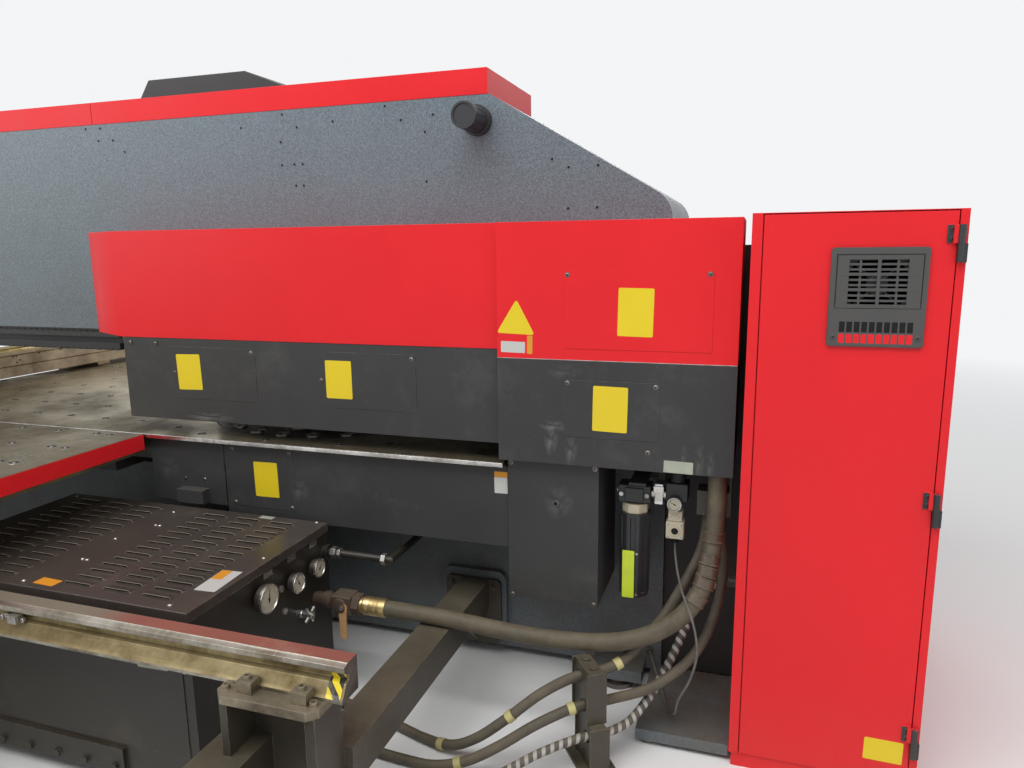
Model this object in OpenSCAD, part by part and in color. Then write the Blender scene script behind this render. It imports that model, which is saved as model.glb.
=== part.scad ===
/* [Frame] */
// Length of the welded bridge frame
frame_l = 5018; // [4960:2:5040]
// Width of the bridge frame
frame_w = 680; // [640:10:680]
// Height of the frame's top face over the floor
frame_h = 2262; // [2200:2:2320]
// Height of the frame's lower face over the floor
frame_floor_gap = 40; // [40:5:50]
// Width of the left column
left_column_w = 618; // [560:2:640]
// Width of the right column
right_column_w = 800; // [740:10:810]
// Height of the top face of the lower beam
lower_beam_z = 700; // [680:5:700]
// Height of the lower face of the upper beam
upper_beam_z = 1340; // [1340:5:1380]
// Length of the sloping shoulder at the right end
slope_run = 620; // [560:10:660]
// Drop of the sloping shoulder
slope_drop = 369; // [320:1:400]
// Radius of the shoulder's lower corner
shoulder_r = 110; // [60:5:140]
// Radius of the throat's inner corners
throat_r = 60; // [30:5:90]
// Length of the box that caps the ram cylinder
ram_cover_l = 878; // [840:2:900]
// Height of that box above the roof covers
ram_cover_h = 108; // [100:2:120]
// Width of that box
ram_cover_w = 400; // [340:10:440]
// Height of the roof covers
roof_h = 94; // [80:1:110]
// Diameter of the breather's cap
breather_d = 96; // [80:2:110]
// Length of the breather
breather_l = 150; // [120:5:160]
// Distance of the breather from the frame's right end
breather_setback = 730; // [700:1:800]
// Height of the breather's axis
breather_z = 2167; // [2120:1:2180]

/* [Turret] */
// Distance of the turret's axis from the frame's right end
turret_setback = 1550; // [1540:1:1560]
// Radius of both turret discs
turret_r = 590; // [580:1:592]
// Thickness of the upper disc
upper_turret_t = 150; // [130:1:152]
// Thickness of the lower disc
lower_turret_t = 115; // [100:1:125]
// Gap between the die tops and the upper disc
work_gap = 60; // [50:1:64]
// Radius of the outer circle of stations
outer_track_r = 530; // [520:1:535]
// Number of stations on the outer circle
outer_stations = 24; // [16:1:26]
// Radius of the inner circle of stations
inner_track_r = 400; // [390:1:410]
// Number of stations on the inner circle
inner_stations = 16; // [10:1:18]
// Bore of the outer stations
outer_bore_d = 60; // [48:1:64]
// Bore of the inner stations
inner_bore_d = 88; // [70:1:96]
// Radial clearance of tools in their bores
tool_gap = 0.1; // [0.05:0.05:0.3]
// Height of the punch heads over the upper disc
punch_head_h = 34; // [28:1:38]
// Diameter of the turret's shaft
turret_shaft_d = 120; // [100:2:140]
// Diameter of the ram
ram_d = 120; // [100:2:140]
// Stroke of the ram
ram_stroke = 45; // [30:1:46]
// Radial running clearance of shafts and pins
running_gap = 0.05; // [0.03:0.01:0.1]
// Axial clearance between parts that turn
axial_gap = 0.3; // [0.3:0.05:0.6]

/* [Covers] */
// Distance of the long covers from the frame's middle plane
cover_y = 670; // [650:1:672]
// Distance of the drive cover from the frame's middle plane
drive_y = 705; // [700:1:720]
// Height of the covers' top edge
cover_top_z = 1781; // [1740:1:1800]
// Lower edge of the red part of the long covers
long_red_z = 1353; // [1340:1:1370]
// Lower edge of the dark part of the long covers
long_dark_z = 1015; // [1014:1:1030]
// Lower edge of the red part of the drive cover
drive_red_z = 1328; // [1300:1:1340]
// Lower edge of the dark part of the drive cover
drive_dark_z = 966; // [962:1:980]
// Distance of the drive cover's left edge from the frame's right end
drive_cover_setback = 539; // [530:1:550]
// Length of the drive cover
drive_cover_l = 790; // [780:1:792]
// Run of the chamfered nose along the frame
nose_run = 240; // [200:1:250]
// Depth of the chamfered nose across the frame
nose_depth = 120; // [100:1:130]
// Thickness of the cover sheets
cover_t = 2.5; // [2:0.5:3]
// Thickness of the hatch plates
hatch_t = 2; // [1.5:0.5:3]

/* [Table] */
// Height of the table's top face
table_z = 950; // [940:1:956]
// Half width of the fixed centre table
table_half = 690; // [680:1:692]
// Distance of the centre table's left end from the throat's left edge
table_setback = 405; // [380:1:420]
// Thickness of the table plates
plate_t = 16; // [14:1:18]
// Spacing of the ball transfers along the frame
ball_pitch_x = 207; // [190:1:230]
// Spacing of the ball transfers across the frame
ball_pitch_y = 213; // [205:1:240]
// Diameter of a transfer ball
ball_d = 16; // [12:1:20]
// Diameter of a transfer's flange
ball_flange_d = 30; // [26:1:36]
// Height of the balls over the table
ball_rise = 2.5; // [2:0.1:2.6]
// Thickness of the bright edge strips
strip_t = 8; // [6:1:9]
// Height of the bright edge strips
strip_h = 16; // [12:1:20]
// Lower edge of the long side panels
side_panel_z = 625; // [600:1:660]
// Lower edge of the pillar cover
pillar_cover_z = 440; // [420:1:480]

/* [Feed] */
// Half length of the carriage beam
beam_half = 2550; // [2500:10:2600]
// Distance of the carriage beam's front face from the throat's left edge at the loading end
beam_setback = 550; // [540:1:560]
// Depth of the carriage beam
beam_d = 350; // [300:5:360]
// Height of the beam's lower face over the table
beam_lift = 25; // [20:1:30]
// Height of the beam's top face
beam_top_z = 1125; // [1115:1:1130]
// Gap between the edge strip and a side table
side_gap = 6; // [4:1:8]
// Depth of the side table's frame
side_frame_h = 65; // [60:1:70]
// Length of the clamp carriage
carriage_l = 1900; // [1700:10:1920]
// Number of clamps on the carriage
clamps = 3; // [2:1:4]
// Width of a clamp
clamp_w = 90; // [80:1:110]
// Radius of the rollers under the side tables
roller_r = 45; // [40:1:50]
// Width of those rollers
roller_w = 36; // [30:1:40]

/* [Supports] */
// Height of the outer rails' top face
rail_z = 640; // [630:1:645]
// Height of the rail section
rail_h = 100; // [90:1:110]
// Back face of the outer rails from the middle plane
rail_y = 1490; // [1485:1:1500]
// Width over the rail's foot
rail_w = 85; // [80:1:92]
// Distance of the right hand support from the frame's right end
support_setback = 878; // [870:1:890]
// Width of the rail seats
seat_l = 315; // [300:1:330]
// Width of the square arms
arm_w = 118; // [100:1:124]
// Height of the arms' top face
arm_z = 350; // [340:1:360]
// Length of the outrigger tubes past the seats
outrigger_l = 560; // [400:10:640]

/* [Power unit] */
// Distance of the power unit's right face from the right hand support
power_gap = 377; // [370:1:382]
// Length of the power unit
power_l = 1280; // [1240:1:1300]
// Near face of the power unit from the middle plane
power_y0 = 1460; // [1450:1:1462]
// Far face of the power unit from the middle plane
power_y1 = 692; // [690:1:700]
// Height of the lid's top face
lid_z = 650; // [640:1:650]
// Depth of the lid's folded skirt
lid_skirt = 32; // [24:1:40]
// Louvres in each row
louvres = 14; // [10:1:15]
// Pitch of the louvres
louvre_pitch = 49.5; // [46:0.5:50]
// Length of one louvre
louvre_l = 112; // [90:1:124]
// Rise of one louvre over the lid
louvre_h = 8; // [5:0.5:10]
// Diameter of the main hose
hose_d = 60; // [56:1:62]
// Diameter of the smaller hoses
small_hose_d = 34; // [30:1:34]

/* [Cabinet] */
// Distance from the frame's right end to the cabinet
cabinet_gap = 275; // [268:1:300]
// Width of the electrical cabinet
cab_w = 553; // [540:1:560]
// Height of the cabinet
cab_h = 1788; // [1750:1:1820]
// Door face of the cabinet from the middle plane
cab_front = 780; // [764:1:800]
// Depth of the cabinet
cab_d = 1420; // [1380:10:1440]
// Height of the cabinet's plinth
plinth_h = 51; // [40:1:60]
// Width of the frame left of the door
cab_margin = 33; // [28:1:40]
// Thickness of the door
door_t = 22; // [18:1:26]
// Gap round the door
door_gap = 3; // [2:0.5:4]
// Wall of the cabinet and its door
cab_wall = 2.5; // [2:0.5:3]
// Width of the filter fan
fan_w = 249; // [244:1:260]
// Height of the filter fan
fan_h = 278; // [274:1:290]
// Diameter of the fan wheel
fan_d = 150; // [130:1:160]

/* [Hidden] */
$fn = 48;

// Places worked out from the sizes above
frame_x0 = -(frame_l + cabinet_gap + cab_w) / 2;
frame_x1 = frame_x0 + frame_l;
frame_half = frame_w / 2;
throat_x0 = frame_x0 + left_column_w;
throat_x1 = frame_x1 - right_column_w;
turret_x = frame_x1 - turret_setback;
punch_x = turret_x - outer_track_r;
roof_joint_x = turret_x - 1031;
breather_x = frame_x1 - breather_setback;
long_cover_x0 = turret_x - 660;
drive_cover_x0 = frame_x1 - drive_cover_setback;
drive_cover_x1 = drive_cover_x0 + drive_cover_l;
table_x0 = throat_x0 + table_setback;
table_x1 = drive_cover_x0 + 10;
table_joint_x = long_cover_x0 - 5;
beam_x = throat_x0 + beam_setback;
die_top_z = table_z;
lower_turret_z1 = die_top_z - 5;
lower_turret_z0 = lower_turret_z1 - lower_turret_t;
upper_turret_z0 = die_top_z + work_gap;
upper_turret_z1 = upper_turret_z0 + upper_turret_t;
punch_top_z = upper_turret_z1 + punch_head_h;
ram_z0 = punch_top_z + ram_stroke + 5;
ram_l = 320;
ram_guide_h = 36;
beam_z0 = table_z + beam_lift;
side_table_y0 = table_half + strip_t + side_gap;
side_table_y1 = beam_half - 10;
side_table_x0 = beam_x - beam_d;
side_table_x1 = table_joint_x + 105;
support_x = frame_x1 - support_setback;
power_x1 = support_x - power_gap;
power_x0 = power_x1 - power_l;
rail_x0 = side_table_x0 + 5;
rail_x1 = support_x + 206;
rail_z0 = rail_z - rail_h;
rail_axis_y = rail_y + 34;
roller_x = side_table_x1 - 80;
roller_z = rail_z + axial_gap + roller_r;
support_xs = [support_x, power_x0 - 260, rail_x0 + 230];
carriage_end = 350;
carriage_y0 = carriage_end - beam_half;
carriage_gap = 0.6;
guide_h = 32;
guide_top_z = beam_top_z + guide_h;
jaw_pin_x = beam_x + 135;
jaw_pin_z = table_z + 40;
cab_x0 = frame_x1 + cabinet_gap;
cab_x1 = cab_x0 + cab_w;
cab_y0 = -cab_front;
hinge_x = cab_x1 - 17;
knuckle_r = 9;
door_x0 = cab_x0 + cab_margin;
door_x1 = hinge_x - 8;
door_z0 = plinth_h + door_gap;
hinge_y = cab_y0 - knuckle_r - 0.5;
hinge_zs = [cab_h * 0.113, cab_h * 0.5285, cab_h * 0.9485];
fan_x0 = cab_x0 + 217;
fan_z0 = cab_h - 378;
fan_axis_x = fan_x0 + fan_w / 2;
fan_axis_z = fan_z0 + 174;
lever_x = power_x1 + 135;
hose_y = -795;
hose_z = 385;
air_y = -570;

// Colours of the finishes
red_paint = "firebrick";
dark_paint = [0.15, 0.17, 0.20];
grey_paint = [0.20, 0.20, 0.21];
steel = [0.62, 0.60, 0.56];
bright = [0.80, 0.80, 0.79];
brass = [0.72, 0.58, 0.30];
rubber = [0.24, 0.21, 0.18];

// Points of an arc about (cx, cy) from angle a0 to a1
function arc(cx, cy, r, a0, a1, n = 6) =
    [for (i = [0:n]) [cx + r * cos(a0 + (a1 - a0) * i / n), cy + r * sin(a0 + (a1 - a0) * i / n)]];

// Outline of a rectangle with rounded corners
function rounded(x0, x1, y0, y1, r, n = 4) = concat(
    arc(x1 - r, y0 + r, r, -90, 0, n), arc(x1 - r, y1 - r, r, 0, 90, n),
    arc(x0 + r, y1 - r, r, 90, 180, n), arc(x0 + r, y0 + r, r, 180, 270, n));

// Outline of a rectangle with chamfered corners
function chamfered(x0, x1, y0, y1, c) = [
    [x0 + c, y0], [x1 - c, y0], [x1, y0 + c], [x1, y1 - c],
    [x1 - c, y1], [x0 + c, y1], [x0, y1 - c], [x0, y0 + c]];

// A block between two corners
module block(x0, x1, y0, y1, z0, z1) {
    translate([x0, y0, z0])
        cube([x1 - x0, y1 - y0, z1 - z0]);
}

// An outline in X and Z, drawn out along Y
module prism_y(points, y0, y1) {
    translate([0, y1, 0])
        rotate([90, 0, 0])
            linear_extrude(y1 - y0)
                polygon(points);
}

// An outline in Y and Z, drawn out along X
module prism_x(points, x0, x1) {
    translate([x0, 0, 0])
        rotate([90, 0, 90])
            linear_extrude(x1 - x0)
                polygon(points);
}

// An outline in X and Y, drawn out along Z
module prism_z(points, z0, z1) {
    translate([0, 0, z0])
        linear_extrude(z1 - z0)
            polygon(points);
}

// Round bars along the three axes
module bar_x(x0, x1, y, z, r) {
    translate([x0, y, z])
        rotate([0, 90, 0])
            cylinder(r = r, h = x1 - x0);
}

module bar_y(y0, y1, x, z, r) {
    translate([x, y1, z])
        rotate([90, 0, 0])
            cylinder(r = r, h = y1 - y0);
}

module bar_z(z0, z1, x, y, r) {
    translate([x, y, z0])
        cylinder(r = r, h = z1 - z0);
}

// The same thing on both sides of the frame's middle plane
module both_sides() {
    children();
    mirror([0, 1, 0])
        children();
}

// A hexagon head standing on a face, axis along Z
module hex_head(x, y, z, r, h) {
    translate([x, y, z])
        cylinder(r = r, h = h, $fn = 6);
}

// Outline of the frame's side, with its sloping shoulder
function frame_outline() = concat(
    [[frame_x0, frame_floor_gap], [frame_x1, frame_floor_gap]],
    arc(frame_x1 - shoulder_r, frame_h - slope_drop - shoulder_r * 0.9, shoulder_r, 0, 59, 5),
    [[frame_x1 - 64 - slope_run, frame_h]],
    arc(frame_x0 + shoulder_r, frame_h - shoulder_r, shoulder_r, 90, 180, 6));

// Feet of the frame: a pad of plate with an anchor hole at each corner
foot_xs = [frame_x0 + 160, frame_x0 + 1500, turret_x - 215, frame_x1 - 160];
foot_l = 200;
foot_w = 120;
foot_t = 45;
anchor_d = 26;
foot_y = frame_half + 60;

module frame_feet() {
    for (x = foot_xs)
        both_sides()
            difference() {
                block(x - foot_l / 2, x + foot_l / 2, -frame_half - foot_w, -frame_half,
                    frame_floor_gap, frame_floor_gap + foot_t);
                translate([x, -foot_y, frame_floor_gap - 1])
                    cylinder(d = anchor_d, h = foot_t + 2);
            }
}

// Bosses on the frame's sides that the support arms bolt to
boss_w = 280;
boss_z0 = 60;
boss_z1 = 380;
boss_t = 30;

module arm_bosses() {
    for (x = support_xs)
        both_sides()
            translate([x + 105, -frame_half, 0])
                rotate([90, 0, 0])
                    linear_extrude(boss_t)
                        polygon(rounded(-boss_w / 2, boss_w / 2, boss_z0, boss_z1, 40));
}

// Foot plate that reaches out in front of the cabinet's corner
foot_plate_y = 760;
foot_plate_z = 60;
foot_plate_t = 10;
foot_plate_x0 = frame_x1 - 35;
foot_plate_x1 = cab_x0 - 2;

module foot_plate() {
    block(foot_plate_x0, foot_plate_x1, -foot_plate_y, -frame_half, foot_plate_z - foot_plate_t, foot_plate_z);
    block(foot_plate_x0, foot_plate_x1, -foot_plate_y, -foot_plate_y + 10, foot_plate_z - 40,
        foot_plate_z - foot_plate_t);
}

module bridge_frame() {
    color(dark_paint)
        difference() {
            union() {
                difference() {
                    prism_y(frame_outline(), -frame_half, frame_half);
                    prism_y(rounded(throat_x0, throat_x1, lower_beam_z, upper_beam_z, throat_r),
                        -frame_half - 1, frame_half + 1);
                }
                frame_feet();
                arm_bosses();
                foot_plate();
                bar_z(upper_beam_z - ram_guide_h, upper_beam_z, punch_x, 0, ram_d / 2 + 45);
            }
            bar_z(upper_beam_z - ram_guide_h - 1, ram_z0 + ram_l + 20, punch_x, 0, ram_d / 2 + running_gap);
        }
}

// One folded roof cover, open below
roof_far_y = frame_half - 112;

module roof_cover(x0, x1) {
    difference() {
        block(x0, x1, -frame_half - 2, roof_far_y, frame_h, frame_h + roof_h);
        block(x0 + 3, x1 - 3, 1 - frame_half, roof_far_y - 3, frame_h - 1, frame_h + roof_h - 3);
    }
}

module roof_covers() {
    color(red_paint) {
        roof_cover(frame_x0 + shoulder_r, roof_joint_x - 1);
        roof_cover(roof_joint_x + 1, frame_x1 - 64 - slope_run - 6);
    }
}

module ram_cover() {
    roof_z = frame_h + roof_h;
    x0 = punch_x + 64 - ram_cover_l / 2;
    x1 = x0 + ram_cover_l;
    t = 3;
    color(grey_paint)
        difference() {
            prism_y([[x0, roof_z], [x1, roof_z], [x1 - 281, roof_z + ram_cover_h], [x0 + 77, roof_z + ram_cover_h]],
                -ram_cover_w / 2, ram_cover_w / 2);
            prism_y([[x0 + t, roof_z - 1], [x1 - 2 * t, roof_z - 1], [x1 - 282, roof_z + ram_cover_h - t],
                [x0 + 79, roof_z + ram_cover_h - t]], t - ram_cover_w / 2, ram_cover_w / 2 - t);
        }
}

module breather() {
    y = -frame_half;
    color([0.10, 0.10, 0.10]) {
        difference() {
            union() {
                bar_y(y - 26, y, breather_x, breather_z, breather_d / 2 + 8);
                bar_y(y - breather_l, y - 26, breather_x, breather_z, breather_d / 2);
            }
            bar_y(y - breather_l - 1, y - breather_l + 4, breather_x, breather_z, breather_d / 2 - 8);
            for (a = [0:30:330])
                translate([breather_x, y - 62, breather_z])
                    rotate([90, a, 0])
                        translate([breather_d / 2, 0, 0])
                            cylinder(r = 2.5, h = breather_l - 74);
        }
    }
}

module levelling_pads() {
    color(steel) {
        for (x = foot_xs)
            both_sides()
                difference() {
                    union() {
                        bar_z(0, 18, x, -foot_y, 62);
                        bar_z(18, frame_floor_gap, x, -foot_y, 40);
                    }
                    bar_z(-1, frame_floor_gap + 1, x, -foot_y, anchor_d / 2);
                }
        bar_z(0, 14, foot_plate_x0 + 40, -foot_plate_y + 50, 36);
        bar_z(14, foot_plate_z - foot_plate_t, foot_plate_x0 + 40, -foot_plate_y + 50, 16);
    }
}

// Plan of the long cover's sheet, from the nose to the right end
function nose_plan(y, x1) = [
    [long_cover_x0 - nose_run, -frame_half], [long_cover_x0 - nose_run, -y + nose_depth],
    [long_cover_x0, -y], [x1, -y], [x1, -frame_half]];

// The same plan, one sheet further in
function inner_plan(y, x1, t) = [
    [long_cover_x0 - nose_run + t, -frame_half + 1], [long_cover_x0 - nose_run + t, -y + nose_depth + t * 0.6],
    [long_cover_x0 + t * 0.25, -y + t], [x1 - t, -y + t], [x1 - t, -frame_half + 1]];

module long_cover_red(x1) {
    difference() {
        prism_z(nose_plan(cover_y, x1), long_red_z, cover_top_z);
        prism_z(inner_plan(cover_y, x1, cover_t), long_red_z - 1, cover_top_z - cover_t);
    }
}

// The dark part ends at the nose, sits one sheet inside the red part and laps up behind it
dark_end_gap = 12;
cover_lap = 30;

module long_cover_dark(x1) {
    t = cover_t;
    x0 = long_cover_x0 + dark_end_gap;
    z1 = long_red_z + cover_lap;
    difference() {
        block(x0, x1 - t, t - cover_y, -frame_half, long_dark_z, z1);
        block(x0 + t, x1 - 2 * t, 2 * t - cover_y, 1 - frame_half, long_dark_z - 1, z1 + 1);
    }
}

module turret_cover_near_red() {
    color(red_paint)
        long_cover_red(drive_cover_x0 - 2);
}

module turret_cover_near_dark() {
    color(grey_paint)
        long_cover_dark(drive_cover_x0 - 2);
}

module turret_cover_far_red() {
    color(red_paint)
        mirror([0, 1, 0])
            long_cover_red(frame_x1 - 2);
}

module turret_cover_far_dark() {
    color(grey_paint)
        mirror([0, 1, 0])
            long_cover_dark(frame_x1 - 2);
}

module drive_cover_red() {
    t = cover_t;
    color(red_paint) {
        block(frame_x1, drive_cover_x1 - t, -frame_half - t, -frame_half, drive_red_z, cover_top_z - t);
        difference() {
            block(drive_cover_x0, drive_cover_x1, -drive_y, -frame_half, drive_red_z, cover_top_z);
            block(drive_cover_x0 + t, drive_cover_x1 - t, -drive_y + t, -frame_half + 1,
                drive_red_z - 1, cover_top_z - t);
        }
    }
}

// The dark part has a return lip round its open foot
module drive_cover_dark() {
    t = cover_t;
    color(grey_paint) {
        block(frame_x1, drive_cover_x1 - t, -frame_half - t, -frame_half, drive_dark_z + t, drive_red_z);
        difference() {
            block(drive_cover_x0, drive_cover_x1, -drive_y, -frame_half, drive_dark_z, drive_red_z);
            block(drive_cover_x0 + t, drive_cover_x1 - t, -drive_y + t, -frame_half + 1,
                drive_dark_z + t, drive_red_z + 1);
            block(drive_cover_x0 + t + lip, drive_cover_x1 - t - lip, -drive_y + t + lip, -frame_half + 1,
                drive_dark_z - 1, drive_dark_z + t + 1);
        }
    }
}

// Access hatches: thin plates screwed over openings in the covers
hatch_low_z = 1107;
hatch_high_z = 1320;

module hatch(x0, x1, y, z0, z1) {
    translate([0, y, 0])
        rotate([90, 0, 0])
            linear_extrude(hatch_t)
                polygon(rounded(x0, x1, z0, z1, 5, 3));
}

module cover_hatches() {
    color(grey_paint) {
        hatch(long_cover_x0 + 245, long_cover_x0 + 655, -cover_y + cover_t, hatch_low_z, hatch_high_z);
        hatch(long_cover_x0 + 961, long_cover_x0 + 1344, -cover_y + cover_t, hatch_low_z, hatch_high_z);
        hatch(drive_cover_x0 + 235, drive_cover_x0 + 551, -drive_y, 1068, 1262);
        hatch(panel_joint_x + 30, panel_joint_x + 328, -panel_y, 668, table_z - 30);
    }
    color(red_paint)
        hatch(drive_cover_x0 + 235, drive_cover_x0 + 711, -drive_y, 1367, 1621);
}

// Panels that close the table's underframe, a cast block on one of them, and the cabinet's cable trunk
trunk_inset = 40;
panel_y = table_half - 30;
panel_t = 3;
panel_joint_x = turret_x - 197;

module side_panels() {
    z1 = table_z - plate_t - 6;
    x0 = table_joint_x + 98;
    x1 = table_x1 + 8;
    color(grey_paint)
        both_sides() {
            block(panel_joint_x + 3, x1, -panel_y, -panel_y + panel_t, side_panel_z, z1);
            block(panel_joint_x + 3, x1, -panel_y + panel_t, -panel_y + 25, side_panel_z, side_panel_z + panel_t);
            block(x0, panel_joint_x - 3, -panel_y, -panel_y + panel_t, side_panel_z + 35, z1);
            block(x0, panel_joint_x - 3, -panel_y + panel_t, -panel_y + 25,
                side_panel_z + 35, side_panel_z + 35 + panel_t);
        }
    color(grey_paint)
        block(panel_joint_x - 221, panel_joint_x - 90, -panel_y - 40, -panel_y, 668, 725);
    color(dark_paint)
        block(frame_x1, cab_x0, trunk_inset - frame_half, frame_half - trunk_inset, frame_floor_gap, cab_h - 90);
}

module pillar_cover() {
    x0 = table_x1 + 11;
    x1 = x0 + 328;
    t = cover_t;
    color(grey_paint)
        difference() {
            block(x0, x1, -cover_y, -frame_half, pillar_cover_z, drive_dark_z - 10);
            block(x0 + t, x1 - t, -cover_y + t, -frame_half + 1, pillar_cover_z - 1, drive_dark_z - 10 - t);
        }
}

// Underframe of the centre table: two long beams on four cross beams
bed_y0 = 602;
bed_y1 = panel_y - panel_t;
bed_h = 100;
cross_xs = [table_x0 + 40, turret_x - 1695, turret_x - 865, turret_x + 597];
cross_w = 92;
shelf_x1 = power_x0 - 30;

module table_bed() {
    z1 = table_z - plate_t;
    z0 = z1 - bed_h;
    color(grey_paint) {
        both_sides() {
            block(table_x0, table_x1, -bed_y1, -bed_y0, z0, z1);
            block(side_table_x0 - 45, shelf_x1, -bed_y1 - 130, -bed_y1, shelf_z - 30, shelf_z);
        }
        for (x = cross_xs) {
            block(x, x + cross_w, -bed_y1, bed_y1, z0 - 74, z0);
            block(x, x + cross_w, -frame_half + 40, frame_half - 40, lower_beam_z, z0 - 74);
        }
    }
}

// Outline of the fixed table's right plate, cut out for the turret and notched round the column
module centre_table() {
    color(steel) {
        block(table_x0, table_joint_x - 1, -table_half, table_half, table_z - plate_t, table_z);
        difference() {
            block(table_joint_x + 1, table_x1, -table_half, table_half, table_z - plate_t, table_z);
            bar_z(table_z - plate_t - 1, table_z + 1, turret_x, 0, turret_r + 8);
            block(throat_x1 - 8, table_x1 + 1, -frame_half - 8, frame_half + 8, table_z - plate_t - 1, table_z + 1);
            block(turret_x, throat_x1, -frame_half - 8, frame_half + 8, table_z - plate_t - 1, table_z + 1);
        }
    }
}

strip_joint_x = panel_joint_x - 13;

module edge_strips() {
    color(bright)
        both_sides() {
            block(table_x0, strip_joint_x - 1, -table_half - strip_t, -table_half, table_z - strip_h, table_z);
            block(strip_joint_x + 1, table_x1, -table_half - strip_t, -table_half, table_z - strip_h, table_z);
        }
}

// A ball transfer: a flat flange round a ball that stands a little proud
module ball_transfer(x, y) {
    flange_t = 1.2;
    r = ball_d / 2;
    heights = [flange_t, ball_rise * 0.85, ball_rise];
    function at(z) = sqrt(r * r - pow(min(z + r - ball_rise, r * 0.995), 2));
    translate([x, y, table_z]) {
        cylinder(d1 = ball_flange_d, d2 = ball_flange_d - 1.2, h = flange_t);
        for (i = [0, 1])
            translate([0, 0, heights[i]])
                cylinder(r1 = at(heights[i]), r2 = at(heights[i + 1]), h = heights[i + 1] - heights[i]);
    }
}

ball_first_y = 185;
ball_edge = 15;
ball_xs = [for (x = [table_joint_x - 94 : -ball_pitch_x : table_x0 + ball_edge]) x];

module centre_balls() {
    color(bright) {
        for (x = ball_xs)
            for (j = [0:5])
                ball_transfer(x, -table_half + ball_first_y + j * ball_pitch_y);
        both_sides()
            for (p = [[-507, -555], [-324, -628], [0, -645], [325, -628], [507, -555], [705, -420], [905, -600]])
                ball_transfer(turret_x + p[0], p[1]);
    }
}

// The ram slides in the guide under the upper beam and strikes the tool below it
module ram() {
    color(bright) {
        bar_z(ram_z0, ram_z0 + 20, punch_x, 0, ram_d / 2 - 12);
        bar_z(ram_z0 + 20, ram_z0 + ram_l, punch_x, 0, ram_d / 2);
    }
}

// Places of the tools on one circle of stations
module stations(track_r, n) {
    for (i = [0:n - 1])
        rotate([0, 0, i * 360 / n])
            translate([-track_r, 0, 0])
                children();
}

slug_share = 0.55;
die_share = 0.45;

module turret_disc(z0, z1, recess) {
    translate([turret_x, 0, 0])
        difference() {
            union() {
                translate([0, 0, z0])
                    cylinder(r = turret_r, h = z1 - z0 - 40);
                translate([0, 0, z1 - 40])
                    cylinder(r = turret_r - 8, h = 14);
                translate([0, 0, z1 - 26])
                    cylinder(r = turret_r, h = 26);
            }
            translate([0, 0, z0 - 1])
                cylinder(r = turret_shaft_d / 2 + running_gap, h = z1 - z0 + 2);
            stations(outer_track_r, outer_stations)
                translate([0, 0, z1 - recess])
                    cylinder(d = outer_bore_d, h = recess + 1);
            stations(inner_track_r, inner_stations)
                translate([0, 0, z1 - recess])
                    cylinder(d = inner_bore_d, h = recess + 1);
        }
}

module upper_turret() {
    color(steel)
        turret_disc(upper_turret_z0, upper_turret_z1, upper_turret_t + 1);
}

die_h = 40;

// Hole under a die that the slugs fall through
module slug_hole(d) {
    translate([0, 0, lower_turret_z0 - 1])
        cylinder(d = d * slug_share, h = lower_turret_t);
}

module lower_turret() {
    color(steel)
        difference() {
            turret_disc(lower_turret_z0, lower_turret_z1, die_h - 5);
            translate([turret_x, 0, 0]) {
                stations(outer_track_r, outer_stations)
                    slug_hole(outer_bore_d);
                stations(inner_track_r, inner_stations)
                    slug_hole(inner_bore_d);
            }
        }
}

// A punch: a body in its bore and a broad head above the disc
module punch(d) {
    body_z0 = upper_turret_z0 + 4;
    translate([0, 0, body_z0])
        cylinder(d = d - 2 * tool_gap, h = upper_turret_z1 - body_z0);
    translate([0, 0, upper_turret_z1])
        cylinder(d = d + 8, h = punch_head_h - 10);
    translate([0, 0, punch_top_z - 10])
        cylinder(d = d - 10, h = 10);
}

module punch_set() {
    color([0.42, 0.42, 0.44])
        translate([turret_x, 0, 0]) {
            stations(outer_track_r, outer_stations)
                punch(outer_bore_d);
            stations(inner_track_r, inner_stations)
                punch(inner_bore_d);
        }
}

// A die: a ring that stands proud of the lower disc
module die(d) {
    translate([0, 0, die_top_z - die_h])
        difference() {
            cylinder(d = d - 2 * tool_gap, h = die_h);
            translate([0, 0, -1])
                cylinder(d = d * die_share, h = die_h + 2);
        }
}

module die_set() {
    color([0.42, 0.42, 0.44])
        translate([turret_x, 0, 0]) {
            stations(outer_track_r, outer_stations)
                die(outer_bore_d);
            stations(inner_track_r, inner_stations)
                die(inner_bore_d);
        }
}

// Fixed shafts that the two discs turn on
module turret_posts() {
    nut_r = turret_shaft_d / 2 + 30;
    nut_h = 14;
    color(steel) {
        bar_z(upper_turret_z1 + axial_gap, upper_beam_z, turret_x, 0, turret_shaft_d);
        bar_z(upper_turret_z0 - axial_gap, upper_turret_z1 + axial_gap, turret_x, 0, turret_shaft_d / 2);
        bar_z(upper_turret_z0 - axial_gap - nut_h, upper_turret_z0 - axial_gap, turret_x, 0, nut_r);
        bar_z(lower_beam_z, lower_turret_z0 - axial_gap, turret_x, 0, turret_shaft_d);
        bar_z(lower_turret_z0 - axial_gap, lower_turret_z1 + axial_gap, turret_x, 0, turret_shaft_d / 2);
        bar_z(lower_turret_z1 + axial_gap, lower_turret_z1 + axial_gap + 4, turret_x, 0, nut_r);
    }
}

// Section of the carriage beam, stepped at the front for the guide rail
function beam_section() = [
    [beam_x - beam_d, beam_z0], [beam_x - 25, beam_z0], [beam_x - 25, beam_z0 + 62],
    [beam_x - 10, beam_z0 + 68], [beam_x - 10, beam_top_z - 24], [beam_x, beam_top_z - 18],
    [beam_x, beam_top_z], [beam_x - 110, beam_top_z], [beam_x - 110, beam_top_z - 12],
    [beam_x - beam_d, beam_top_z - 12]];

// The beam stands on the side tables on four feet
beam_foot_ys = [side_table_y0 + 56, side_table_y1 - 160];

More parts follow.
